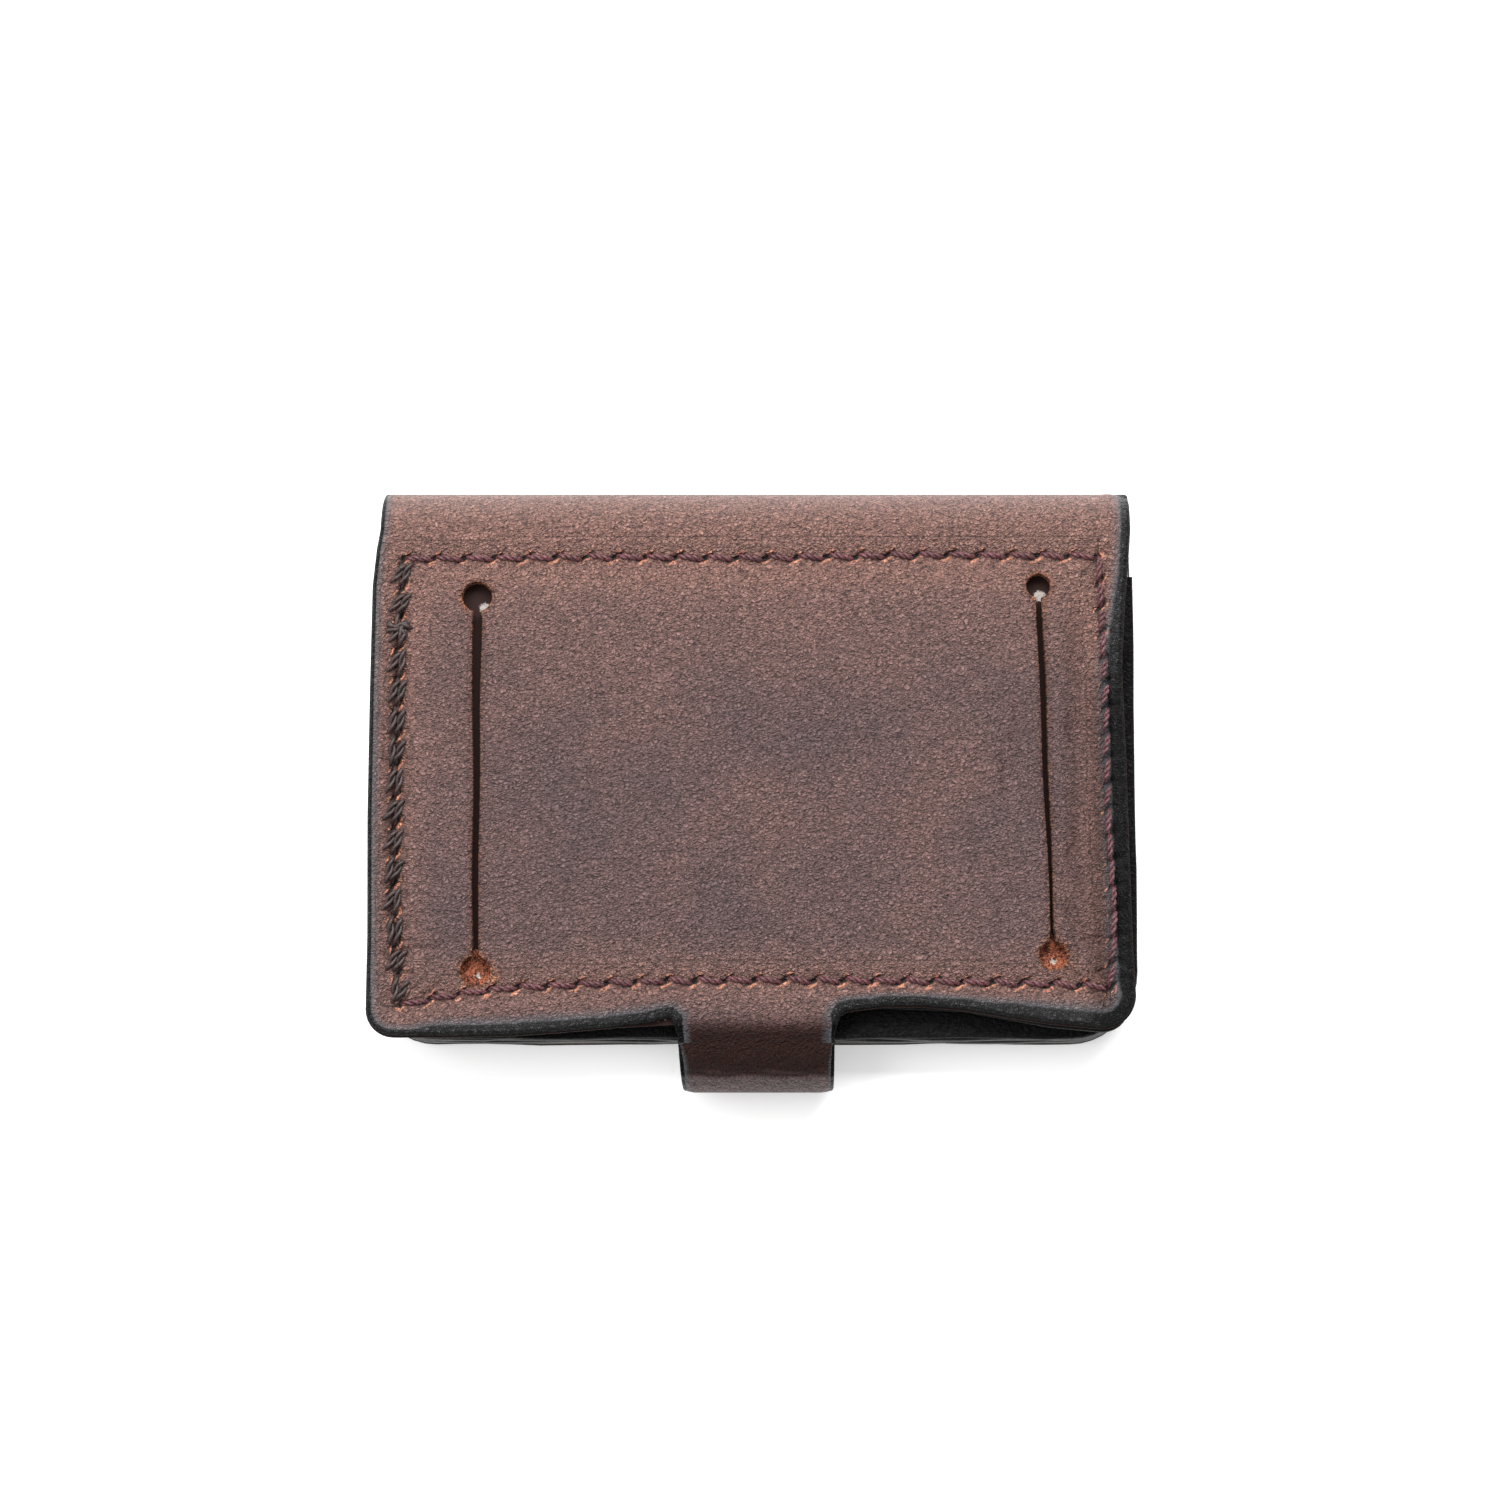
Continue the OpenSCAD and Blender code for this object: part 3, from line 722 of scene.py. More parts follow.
def awl_relief(points, holes, path, depth, closed=False):
    """A seam pressed into the leather: a slanted slot at each awl hole, with a lip turned up below it."""
    gap = path_distance(points, path, closed)[0]
    near = np.where(gap < 4)[0]
    out = -0.20 * bump_at(gap, 0.9)
    p = points[near]
    pits = np.zeros(len(near))
    lips = np.zeros(len(near))
    for i, (hx, hy) in enumerate(holes):
        r = random.Random(i)
        lean = math.radians(30 + r.uniform(-7, 7))
        d = p - (hx, hy)
        u = d @ (math.cos(lean), math.sin(lean))
        w = d @ (math.sin(lean), -math.cos(lean))
        pit = bump_at(np.hypot((u - 0.1) / 1.25, w / 0.36), 1.0)
        lip = bump_at(np.hypot((u + 0.15) / 1.35, (w - 0.85) / 0.5), 1.0)
        pits = np.maximum(pits, pit)
        lips = np.maximum(lips, r.uniform(0.6, 1.2) * lip)
    out[near] += -depth * pits + 0.28 * lips
    return out


# Creases from opening and closing: middle, half length, and turn in radians
CREASES = [(-47.6, -26.7, 6.6, 0.18), (-48.2, -30.2, 4.0, 0.55), (-45.6, -32.6, 3.0, 0.85),
           (-51.6, -33.2, 2.4, 0.95), (48.0, -25.3, 2.4, 0.37), (44.5, -21.0, 2.0, -1.3),
           (46.6, -31.0, 2.6, -0.5), (49.0, -30.0, 2.2, 0.6), (45.3, -12.0, 3.5, 1.35),
           (44.9, 6.0, 3.0, 1.7), (37.0, 5.0, 5.0, 1.45), (35.4, -2.0, 4.0, 1.6)]


def creases(points):
    total = np.zeros(len(points))
    for cx, cy, half, turn in CREASES:
        u = (points[:, 0] - cx) * math.cos(turn) + (points[:, 1] - cy) * math.sin(turn)
        w = (points[:, 1] - cy) * math.cos(turn) - (points[:, 0] - cx) * math.sin(turn)
        total = np.maximum(total, bump_at(w + 0.25 * np.sin(u * 1.3), 0.24) * bump_at(u / half, 0.8))
    return total


def lid_relief(points):
    x, y = points.T
    seam, along = path_distance(points, FRAME_SEAM, True)
    within = inside(points, np.array(FRAME_SEAM))
    depth_in = np.where(within, seam, 0)
    out = awl_relief(points, AWL_HOLES, FRAME_SEAM, 0.6, True)
    # The panel inside the seam is padded by the layers behind it
    out += 0.42 * ease(depth_in / 7.0) + 0.25 * ease(depth_in / 26.0)
    # Radial wrinkles that fade away from the seam
    wrinkle = np.sin(along * 2 * math.pi / 2.15 + 0.8 * np.sin(along * 0.9)) * bump_at(seam - 1.7, 1.3)
    out += 0.09 * wrinkle
    # The edge was skived and pressed down, more at the sides and the mouth than at the fold
    cut = lid_cut_distance(points)
    wide = edge_width(points)
    out -= (0.25 + 0.42 * wide) * (1 - ease(cut / (wide * 1.25 + 0.5))) * np.where(y > 30, 0.6, 1.0)
    out += 0.08 * bump_at(cut - 1.6 * wide - 0.6, 0.8)
    # Slit lips, raised beside each cut
    slit = slit_distance(points)
    out += 0.13 * bump_at(slit - 0.5, 0.6) * np.where(y < 30, 1, 0)
    out -= 0.25 * bump_at(slit, 0.3)
    # A long hollow right of the right slit, and the ridge next to it
    fade = ease((20 - np.abs(y + 2)) / 12)
    out -= 0.28 * bump_at(x - 45.6, 1.6) * ease((30 - np.abs(y + 2)) / 14)
    out += 0.16 * bump_at(x - 48.0, 1.1) * fade
    out -= 0.2 * creases(points)
    out += waviness(x * 0.7 + y * 0.3, 3, 0.03) + waviness(y * 0.9 - x * 0.2, 5, 0.03)
    out *= np.where(y > SPINE_Y + 8, 0.0, 1.0)
    # The tab's root lies flush with the bend that follows
    return out * ease((y - TAB_Y) / 1.6)


def lid_warm_and_lit(points, wall):
    # Lighter and redder towards the fold and over the upper half, which is painted light, and along the
    # seams
    seam = path_distance(points, FRAME_SEAM, True)[0]
    y = points[:, 1]
    return np.clip(0.8 * bump_at(seam, 4.2) + 0.9 * ease((y - 27) / 5) + 0.6 * ease((y - 4) / 24), 0, 1)


def hole_distance(points):
    """Distance to the middle of the nearest punched hole."""
    return np.min([np.hypot(points[:, 0] - cx, points[:, 1] - cy) for cx, cy in LEFT_SLIT + RIGHT_SLIT],
                  axis=0)


def lid_raw(points, wall):
    """Where undyed fibres show: in the punched holes, a little in the slits, and at the tab's root."""
    slit = slit_distance(points)
    at_hole = bump_at(hole_distance(points), 2.9)
    value = bump_at(slit, 0.3) * (0.15 + 0.5 * at_hole)
    value = np.where((wall > 0) & (slit < 0.6), 0.2 + 0.6 * at_hole, value)
    notch = np.maximum(spot(points, -11.6, -37.4, 1.3), spot(points, 12.3, -36.8, 1.2))
    # The punch tore fibres out beside the two lower holes
    spill = np.maximum(spot(points, -37.3, -30.6, 1.3), 0.6 * spot(points, 44.2, -29.0, 1.2))
    return np.clip(np.maximum(value, np.maximum(0.6 * notch, 0.8 * spill)), 0, 1)


def lid_dark(points, wall):
    # Mostly painted shade: at the tab's root where it bends down, in the creases, in the long hollow,
    # beside the slits and on the slit walls. Also darker along the seams, along the left seam and towards
    # the lower right.
    x, y = points.T
    seam = path_distance(points, FRAME_SEAM, True)[0]
    slit = slit_distance(points)
    left = bump_at(path_distance(points, LEFT_SEAM)[0], 1.3) * ease((24 - y) / 3) * ease((y + 31) / 3)
    hollow = 0.28 * bump_at(x - 45.8, 1.5) * ease((30 - np.abs(y + 2)) / 10)
    right = 0.42 * ease((x - 46.5) / 3) * ease((16 - y) / 8)
    tab = ease((-35.6 - y) / 3.8) * (np.abs(x - TAB_X) < 12.5)
    walls = 0.55 * ((wall > 0) & (slit < 0.6)) * (1 - 0.7 * bump_at(hole_distance(points), 2.9))
    return np.clip(0.25 * bump_at(seam, 0.7) + 0.55 * left + 0.35 * bump_at(slit, 0.4) + hollow + right
                   + 0.96 * tab + 0.5 * creases(points) + walls, 0, 0.95)


def stitch_places(points):
    """For each place: how many stitches along the nearest seam it lies, and how far below or right."""
    best = np.full(len(points), 1e9)
    out = np.zeros((len(points), 3))
    for path, count, level in ((TOP_SEAM, 23, True), (RIGHT_SEAM, 17, False), (MOUTH_SEAM[::-1], 24, True),
                               (LEFT_SEAM[::-1], 15, False)):
        gap, along = path_distance(points, path)
        path = np.array(path, float)
        length = np.hypot(*np.diff(path, axis=0).T).sum()
        if level:
            off = np.interp(points[:, 0], path[:, 0], path[:, 1]) - points[:, 1]
        else:
            off = points[:, 0] - np.interp(points[:, 1], path[::-1, 1], path[::-1, 0])
        nearer = gap < best
        best[nearer] = gap[nearer]
        out[nearer, 0] = (along * count / length)[nearer]
        out[nearer, 1] = np.where(gap > 3, FAR, np.sign(off) * gap)[nearer]
    return out


lid_skin = sewn_layer(
    "lid_skin", OUTER, [LID_OUTLINE, LEFT_CUT, RIGHT_CUT], bend_lid, 0.0, SKIN_T, lid_edge_r, 0.62,
    lid_relief,
    colours={"edge_share": lid_edge, "warm": lid_warm_and_lit, "raw": lid_raw, "dark": lid_dark},
    fine=(0.3, lambda p: path_distance(p, FRAME_SEAM, True)[0] < 2.3), stitch=stitch_places)


# ---- The closing tab ----

TAB_END_V = TAB_Y - TAB_R * TAB_TURN - 0.1


def tab_outline():
    end = TAB_END_V
    points = [(-10.6, TAB_Y), (-10.4, TAB_Y - 3.0), (-10.0, TAB_Y - 9.0), (-9.8, end + 2.0)]
    points += arc(-8.1, end + 1.7, 1.7, 180, 270, 6)
    points += arc(9.7, end + 1.7, 1.7, 270, 360, 6)
    points += [(11.4, end + 3.0), (11.5, TAB_Y - 6.0), (11.55, TAB_Y)]
    return np.array(points, float)


TAB_OUTLINE = tab_outline()


def tab_relief(points):
    x, v = points.T
    down = TAB_Y - v
    out = np.zeros(len(points))
    # Stretch creases across the bend
    for at, size, lean in ((2.6, 0.10, 0.02), (3.6, 0.13, -0.03), (4.7, 0.12, 0.015), (6.1, 0.07, -0.02),
                           (8.0, 0.05, 0.03)):
        out -= size * bump_at(down - at - lean * x - 0.25 * np.sin(x * 0.7 + at), 0.28)
    out += 0.05 * bump_at(down - 4.1, 0.9)
    edge = path_distance(points, TAB_OUTLINE[1:-1])[0]
    out -= 0.28 * (1 - ease(edge / 1.8))
    return out * ease(down / 1.6)


def tab_edge(points, wall):
    share = path_distance(points, TAB_OUTLINE[:-1])[0] / np.where(points[:, 0] < 0, 0.75, 0.55)
    share = np.minimum(share, path_distance(points, TAB_OUTLINE[-2:])[0] / 0.55)
    at_root = ease((points[:, 1] - TAB_Y + 3) / 2.5)
    return np.where(wall > 0, 0.6 * at_root, short_wash_and_sheen(share + 0.7 * at_root))


def far_from_seam(points):
    return np.tile([0.0, FAR, 0.0], (len(points), 1))


def tab_bend_shade(points, wall):
    # Painted shade: darkest where the tab starts to bend down, lighter further round, with darker bands in
    # the stretch creases
    down = TAB_Y - points[:, 1]
    bands = sum(0.35 * bump_at(down - at - 0.25 * np.sin(points[:, 0] * 0.7 + at), 0.35)
                for at in (2.6, 3.6, 4.7))
    return np.clip(0.95 - 0.72 * ease((down - 3.2) / 3.0) + bands, 0, 0.97)


tab_skin = sewn_layer(
    "tab_skin", OUTER, [TAB_OUTLINE], bend_lid, 0.0, SKIN_T,
    lambda p: np.where(p[:, 1] > TAB_Y - 0.01, 0.0, 0.5), 0.45, tab_relief, back_spacing=0.8,
    colours={"edge_share": tab_edge, "warm": lambda p, w: 0.9 * ease((p[:, 1] - TAB_Y + 6) / 4),
             "raw": lambda p, w: np.zeros(len(p)), "dark": tab_bend_shade},
    stitch=far_from_seam)

BACKING_V = TAB_Y - TAB_R * math.radians(118)
tab_strip = sewn_layer(
    "tab_strip", INNER,
    [[(-9.6, BACKING_V), (-9.6, TAB_END_V + 0.6), (11.0, TAB_END_V + 0.6), (11.0, BACKING_V)]],
    bend_lid, SKIN_T + 0.02, 1.0, 0.2, 0.8, back_spacing=0.8,
    colours={"edge_share": lambda p, w: np.full(len(p), 0.97)})


# ---- The base's skin ----

def mouth_outline(half, end_v, corner_r, wander=0.12, seed=1):
    """A layer of the case seen flat: straight sides, round corners at the mouth."""
    turn_y, turn_x = MOUTH_Y + corner_r, half - corner_r
    points = [(-half, end_v)]
    points += [(-half + float(waviness(v, seed, wander * 0.5)), v)
               for v in np.arange(end_v - 5, turn_y + 2, -4)]
    points += arc(-turn_x, turn_y, corner_r, 180, 270, 10)
    points += [(x, MOUTH_Y + float(waviness(x, seed + 9, wander)) * ease((turn_x - abs(x)) / 6))
               for x in np.arange(-half + corner_r + 3, turn_x - 2, 4)]
    points += arc(turn_x, turn_y, corner_r, 270, 360, 10)
    points += [(half + float(waviness(v, seed + 5, wander * 0.5)), v)
               for v in np.arange(turn_y + 3, end_v - 4, 4)]
    points += [(half, end_v)]
    return np.array(points, float)


BASE_OUTLINE = mouth_outline(BASE_HALF_W, 30.0, 9.5, seed=2)
BASE_OUTLINE = np.vstack([[(-53.4, SPINE_V), (-53.8, 38.0), (-54.6, 33.0)], BASE_OUTLINE,
                          [(54.9, 33.0), (54.6, 38.0), (54.4, SPINE_V)]])
BASE_SEAM = [(-52.4, 26.0), (-52.4, -28.1)] + arc(-46.3, -28.1, 6.1, 180, 270, 5)[1:] + \
    arc(46.3, -28.1, 6.1, 270, 360, 5) + [(52.4, 26.0)]
BASE_HOLES = seam_places(BASE_SEAM, 51)


def base_relief(points):
    out = awl_relief(points, BASE_HOLES, BASE_SEAM, 0.35)
    cut = path_distance(points, BASE_OUTLINE[1:-1])[0]
    out -= 0.3 * (1 - ease(cut / 2.5))
    out += waviness(points[:, 0] + points[:, 1], 8, 0.03)
    out = np.where(out > 0, 0, out)
    return out * (points[:, 1] < SPINE_Y + 8)


def base_edge(points, wall):
    share = path_distance(points, BASE_OUTLINE[1:-1])[0] / 1.4
    return np.where(wall > 0, 0.0, short_wash_and_sheen(share))


def near_base_seam(points, width):
    return bump_at(path_distance(points, BASE_SEAM)[0], width)


base_skin = sewn_layer(
    "base_skin", OUTER, [BASE_OUTLINE], bend_base, 0.0, SKIN_T,
    lambda p: np.where(p[:, 1] > SPINE_V - 0.01, 0.0, 0.6), 0.7, base_relief,
    # warm: lighter and redder along the seam and towards the fold, where it is painted light as on the lid
    colours={"edge_share": base_edge,
             "warm": lambda p, w: np.clip(0.6 * near_base_seam(p, 2.5) + ease((p[:, 1] - 24) / 18), 0, 1),
             "raw": lambda p, w: 0.3 * near_base_seam(p, 0.3),
             "dark": lambda p, w: 0.35 * near_base_seam(p, 0.8)},
    stitch=far_from_seam)


# ---- Linings, panels and welts ----

LINING_END = 32.0
WELT_GAP = 0.015         # shows as a line between two layers


def lid_lining_outline():
    """The lining was trimmed a hair wider than the lid, so its pale edge shows all round."""
    points = LID_OUTLINE
    middle = [i for i, p in enumerate(points) if abs(p[1] - TAB_Y) < 1e-6]
    left = [p for p in points[:middle[0] - 5] if p[1] < LINING_END]
    right = [p for p in points[middle[1] + 3:] if p[1] < LINING_END]
    whole = [(left[0][0], LINING_END)] + [tuple(p) for p in left] + [tuple(p) for p in right] + \
        [(right[-1][0], LINING_END)]
    whole = np.array(whole, float)
    run = np.roll(whole, -1, axis=0) - np.roll(whole, 1, axis=0)
    n = np.stack([run[:, 1], -run[:, 0]], 1)
    n /= np.maximum(np.hypot(*n.T)[:, None], 1e-9)
    grown = whole + n * 0.12
    grown[grown[:, 1] > LINING_END - 0.5, 1] = LINING_END
    return grown


LINING_EDGE = lid_lining_outline()
# Where pale lining still shows at the bottom of each punched hole: x, y and radius
PALE_SPOTS = [(-38.6, 22.7, 0.75), (41.3, 24.5, 0.8), (-39.1, -30.6, 0.5), (42.7, -28.5, 0.5)]


def spot_nearness(points):
    return sum(spot(points, *pale) for pale in PALE_SPOTS)


def lining_stain(points, wall):
    """Torn fibres round the bottom of each punched hole, but for the pale spot."""
    at_hole = ease((3.4 - hole_distance(points)) / 0.4)
    lower = 0.35 + 0.65 * (points[:, 1] < 0)
    return np.clip(at_hole * lower * (1 - 1.2 * spot_nearness(points)), 0, 1)


def cut_line_distance(points):
    """Distance to the nearer slit's middle line."""
    return np.minimum(path_distance(points, LEFT_SLIT)[0], path_distance(points, RIGHT_SLIT)[0])


def lining_dark(points, wall):
    """Painted shade in the slits and the upper holes, less in the lower ones; also darker near the lining's
    edge.
    """
    in_slit = ease((1.5 - cut_line_distance(points)) / 0.4)
    in_hole = ease((3.4 - hole_distance(points)) / 0.4)
    upper = 0.35 + 0.6 * (points[:, 1] > 0)
    dark = np.maximum(in_slit * (1 - in_hole * (points[:, 1] < 0)), in_hole * upper)
    dark = dark * (1 - 1.2 * spot_nearness(points))
    return np.clip(np.maximum(dark, ease((1.1 - path_distance(points, LINING_EDGE)[0]) / 0.3)), 0, 1)


lid_lining = sewn_layer(
    "lid_lining_sheet", LINING, [LINING_EDGE], bend_lid, SKIN_T + 0.01, LINING_T - 0.02, 0.12, 2.5,
    colours={"stain": lining_stain, "dark": lining_dark},
    fine=(0.35, lambda p: (hole_distance(p) < 3.6) | (cut_line_distance(p) < 1.8)))
base_lining = sewn_layer(
    "base_lining_sheet", LINING, [mouth_outline(BASE_HALF_W - 0.15, LINING_END, 9.4, seed=3)], bend_base,
    SKIN_T + 0.01, LINING_T - 0.02, 0.12, 2.5)


def lower_z(node_name):
    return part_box(node_name)[0].z / MM


def upper_z(node_name):
    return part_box(node_name)[1].z / MM


def welt_outline(seed):
    """A U-shaped strip: out along one side, round the mouth and back, then the same line further in."""
    end_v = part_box("welt_lower")[1].y / MM
    outer = mouth_outline(BASE_HALF_W - 0.1, end_v, 9.5, seed=seed, wander=0.16)
    half, low, r = 50.4, -33.5, 4.9
    inner = [(half, end_v), (half, low + r)] + arc(half - r, low + r, r, 360, 270, 8) + \
        arc(-half + r, low + r, r, 270, 180, 8) + [(-half, low + r), (-half, end_v)]
    return np.vstack([outer, inner])


welts = {}
for seed, welt in enumerate(("welt_lower", "welt_middle", "welt_upper"), 11):
    low, high = lower_z(welt), upper_z(welt)
    welts[welt] = sewn_layer(welt + "_strip", EDGE, [welt_outline(seed)], bend_base, low + WELT_GAP,
                             high - low - 2 * WELT_GAP, 0.28, 1.6)

POCKET_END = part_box("pocket_panel")[1].y / MM
POCKET_T = 1.09
SLOT_PANEL_T = 0.93
THUMB_R = 10.0
pocket_line = mouth_outline(BASE_HALF_W - 0.1, POCKET_END, 9.5, seed=21)
thumb = arc(0.0, POCKET_END + 0.2, THUMB_R, 360, 180, 25)
pocket_line = np.vstack([pocket_line, thumb])


def bend_pocket(x, v, depth):
    """The pocket panel is made face up, from its top down."""
    return np.stack([x, v, upper_z("pocket_panel") - depth], 1)


def pocket_paint_and_shade(points, wall):
    """Black edge paint, about 0.8 mm wide and 2.3 mm at the sides; at the mouth it runs 4.4 mm in, where it
    is painted shade in the gap under the lid.
    """
    x, y = points.T
    at_side = ease((np.abs(x) - 50) / 2)
    wide = 0.8 + 1.5 * at_side
    wide += (4.4 - wide) * ease((-31 - y) / 3)
    return path_distance(points, pocket_line, True)[0] / wide


pocket = sewn_layer("pocket_front", INNER, [pocket_line], bend_pocket, 0.0, POCKET_T, 0.35, 0.9,
                    lambda p: np.minimum(awl_relief(p, BASE_HOLES, BASE_SEAM, 0.35), 0.05),
                    colours={"edge_share": pocket_paint_and_shade})

SLOT_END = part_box("lid_slot_panel")[1].y / MM


def bend_slot(x, v, depth):
    """The slot panel hangs face down inside the lid."""
    return np.stack([x, v, lower_z("lid_slot_panel") + depth], 1)


def slot_outline():
    points = [(-54.3, SLOT_END), (-54.4, 0.0), (-54.3, -34.9)] + arc(-50.4, -34.9, 3.9, 180, 270, 8)
    points += [(-40, -38.7), (-16, -37.6), (0, -37.0), (18, -35.2), (30, -35.7), (42, -37.9)]
    points += arc(49.6, -34.7, 3.9, 270, 360, 8) + [(52.8, -10.0), (52.4, 10.0), (52.9, SLOT_END)]
    return points


slot_panel = sewn_layer(
    "slot_panel_sheet", INNER, [slot_outline()], bend_slot, 0.0, SLOT_PANEL_T, 0.3, 0.9,
    lambda p: np.minimum(awl_relief(p, AWL_HOLES, FRAME_SEAM, 0.3, True), 0.03),
    colours={"edge_share": lambda p, w: path_distance(p, slot_outline(), True)[0] / 0.8})


# ---- Stitches ----

def stitch_tree():
    """One seam: a twisted two-ply stitch on every point, lying along it, with a little unevenness.
    Side is 1 where the seam faces up and -1 where it faces down."""
    tree = bpy.data.node_groups.new("twisted_stitches", "GeometryNodeTree")
    sockets = tree.interface
    sockets.new_socket("Geometry", in_out="INPUT", socket_type="NodeSocketGeometry")
    for label, value in (("Length", 0.0037), ("Thickness", 0.0009), ("Slant", 0.0), ("Wobble", 0.07),
                         ("Side", 1.0), ("Twists", 1.6), ("Seed", 1)):
        kind = "NodeSocketInt" if isinstance(value, int) else "NodeSocketFloat"
        sockets.new_socket(label, in_out="INPUT", socket_type=kind).default_value = value
    sockets.new_socket("Finish", in_out="INPUT", socket_type="NodeSocketMaterial")
    sockets.new_socket("Geometry", in_out="OUTPUT", socket_type="NodeSocketGeometry")
    group = node(tree, "NodeGroupInput", out=None).outputs
    along = node(tree, "GeometryNodeSplineParameter", out="Factor")
    centred = node(tree, MATH, {0: along, 1: 0.5}, operation="SUBTRACT")
    spread = node(tree, MATH, {0: centred, 1: 2.0}, **TIMES)
    spread = node(tree, MATH, {0: spread}, operation="ABSOLUTE")
    # Each end dives steeply, the middle lies level and is the fattest
    fall = node(tree, MATH, {0: spread, 1: 4.0}, operation="POWER")
    sink = node(tree, MATH, {0: group["Thickness"], 1: -0.85}, **TIMES)
    arch = node(tree, MATH, {0: fall, 1: sink}, **TIMES)
    full = node(tree, MATH, {0: group["Thickness"], 1: 0.235}, **TIMES)
    taper = node(tree, MATH, {0: fall, 1: -0.55, 2: 1.0}, **ADD_TO)
    radius = node(tree, MATH, {0: full, 1: taper}, **TIMES)
    across = node(tree, MATH, {0: group["Twists"], 1: 2 * math.pi}, **TIMES)
    reach = node(tree, MATH, {0: centred, 1: group["Length"]}, **TIMES)
    plies = []
    for phase in (0.0, math.pi):
        line = node(tree, "GeometryNodeCurvePrimitiveLine", {"Start": (-0.5, 0, 0), "End": (0.5, 0, 0)})
        line = node(tree, "GeometryNodeResampleCurve", {"Curve": line, "Count": 12})
        turn = node(tree, MATH, {0: along, 1: across, 2: phase}, **ADD_TO)
        side = node(tree, MATH, {0: turn}, operation="COSINE")
        side = node(tree, MATH, {0: side, 1: radius}, **TIMES)
        rise = node(tree, MATH, {0: turn}, operation="SINE")
        rise = node(tree, MATH, {0: rise, 1: radius, 2: arch}, **ADD_TO)
        place = node(tree, COMBINE, {0: reach, 1: side, 2: rise})
        moved = node(tree, "GeometryNodeSetPosition", {"Geometry": line, "Position": place})
        thick = node(tree, MATH, {0: taper, 1: 1.12}, **TIMES)
        thick = node(tree, "GeometryNodeSetCurveRadius", {"Curve": moved, "Radius": thick})
        ring = node(tree, "GeometryNodeCurvePrimitiveCircle", {"Resolution": 6, "Radius": full})
        plies.append(node(tree, "GeometryNodeCurveToMesh",
                          {"Curve": thick, "Profile Curve": ring, "Fill Caps": True}))
    both = node(tree, "GeometryNodeJoinGeometry", {0: tuple(plies)})
    stitch = node(tree, "GeometryNodeSetShadeSmooth", {0: both})
    flip = node(tree, MATH, {0: group["Side"], 1: -0.5, 2: 0.5}, **ADD_TO)
    flip = node(tree, MATH, {0: flip, 1: math.pi}, **TIMES)
    stitch = node(tree, "GeometryNodeTransform",
                  {"Geometry": stitch, "Rotation": node(tree, COMBINE, {0: flip})})
    points = node(tree, "GeometryNodeMeshToPoints", {"Mesh": group["Geometry"]})
    turn = node(tree, "GeometryNodeInputNamedAttribute", {"Name": "turn"}, data_type="FLOAT")
    least = node(tree, MATH, {0: group["Wobble"], 1: -1.0}, **TIMES)
    wobble = node(tree, "FunctionNodeRandomValue", {2: least, 3: group["Wobble"], "Seed": group["Seed"]},
                  out=1, data_type="FLOAT")
    angle = node(tree, MATH, {0: turn, 1: group["Slant"]}, operation="ADD")
    angle = node(tree, MATH, {0: angle, 1: wobble}, operation="ADD")
    stretch = node(tree, "FunctionNodeRandomValue", {2: 0.93, 3: 1.07, "Seed": group["Seed"]}, out=1,
                   data_type="FLOAT")
    placed = node(tree, "GeometryNodeInstanceOnPoints",
                  {"Points": points, "Instance": stitch,
                   "Rotation": node(tree, COMBINE, {2: angle}),
                   "Scale": node(tree, COMBINE, {0: stretch, 1: 1.0, 2: 1.0})})
    real = node(tree, "GeometryNodeRealizeInstances", {"Geometry": placed})
    finished = node(tree, "GeometryNodeSetMaterial", {"Geometry": real, "Material": group["Finish"]})
    node(tree, "NodeGroupOutput", {"Geometry": finished}, out=None)
    return tree


STITCHES = stitch_tree()


def sewn(name, runs, place, finish, **sizes):
    """Sews runs of awl holes: one stitch between each hole and the next. place gives a point's height."""
    middles, turns = [], []
    for holes in runs:
        holes = np.array(holes, float)
        for a, b in zip(holes[:-1], holes[1:]):
            mid = (a + b) / 2
            middles.append((mid[0] * MM, mid[1] * MM, place(mid) * MM))
            turns.append(math.atan2(b[1] - a[1], b[0] - a[0]))
    mesh = bpy.data.meshes.new(name)
    mesh.from_pydata(middles, [], [])
    note_on(mesh, "turn", turns)
    host = in_scene(name, mesh)
    modifier = host.modifiers.new("Sewing", "NODES")
    modifier.node_group = STITCHES
    values = {"Finish": finish, **sizes}
    for item in STITCHES.interface.items_tree:
        if item.in_out == "INPUT" and item.name in values:
            modifier[item.identifier] = values[item.name]
    bpy.context.view_layer.update()
    evaluated = host.evaluated_get(bpy.context.evaluated_depsgraph_get())
    plain = bpy.data.meshes.new_from_object(evaluated)
    host.modifiers.clear()
    host.data = plain
    plain.name = name
    if not plain.materials:
        plain.materials.append(finish)
    return host


def on_lid(p):
    """The stitch lies in the pressed seam, a little proud of the leather round it."""
    return CASE_T + float(lid_relief(np.array([p]))[0]) + 0.16


lid_seam = sewn("lid_seam", [SEAMS["top"], SEAMS["right"], SEAMS["mouth"]], on_lid, THREAD,
                Length=0.0035, Thickness=0.00102, Slant=-0.17, Wobble=0.1, Seed=3)
left_shift = np.array([0.55, 0.0])
# The seam was started with a few stitches back over itself, which left a knot of thread
knot = [[(-52.6, 20.0), (-49.4, 18.6)], [(-52.2, 17.9), (-49.6, 21.2)], [(-51.4, 21.6), (-50.2, 17.6)],
        [(-52.3, 19.2), (-49.2, 20.2)]]
left_runs = [SEAMS["left"] - left_shift, SEAMS["left"] + left_shift]
lid_seam_left = sewn("lid_seam_left", left_runs + knot, on_lid, DARK_THREAD,
                     Length=0.0046, Thickness=0.0013, Slant=-0.34, Wobble=0.34, Twists=1.0, Seed=4)

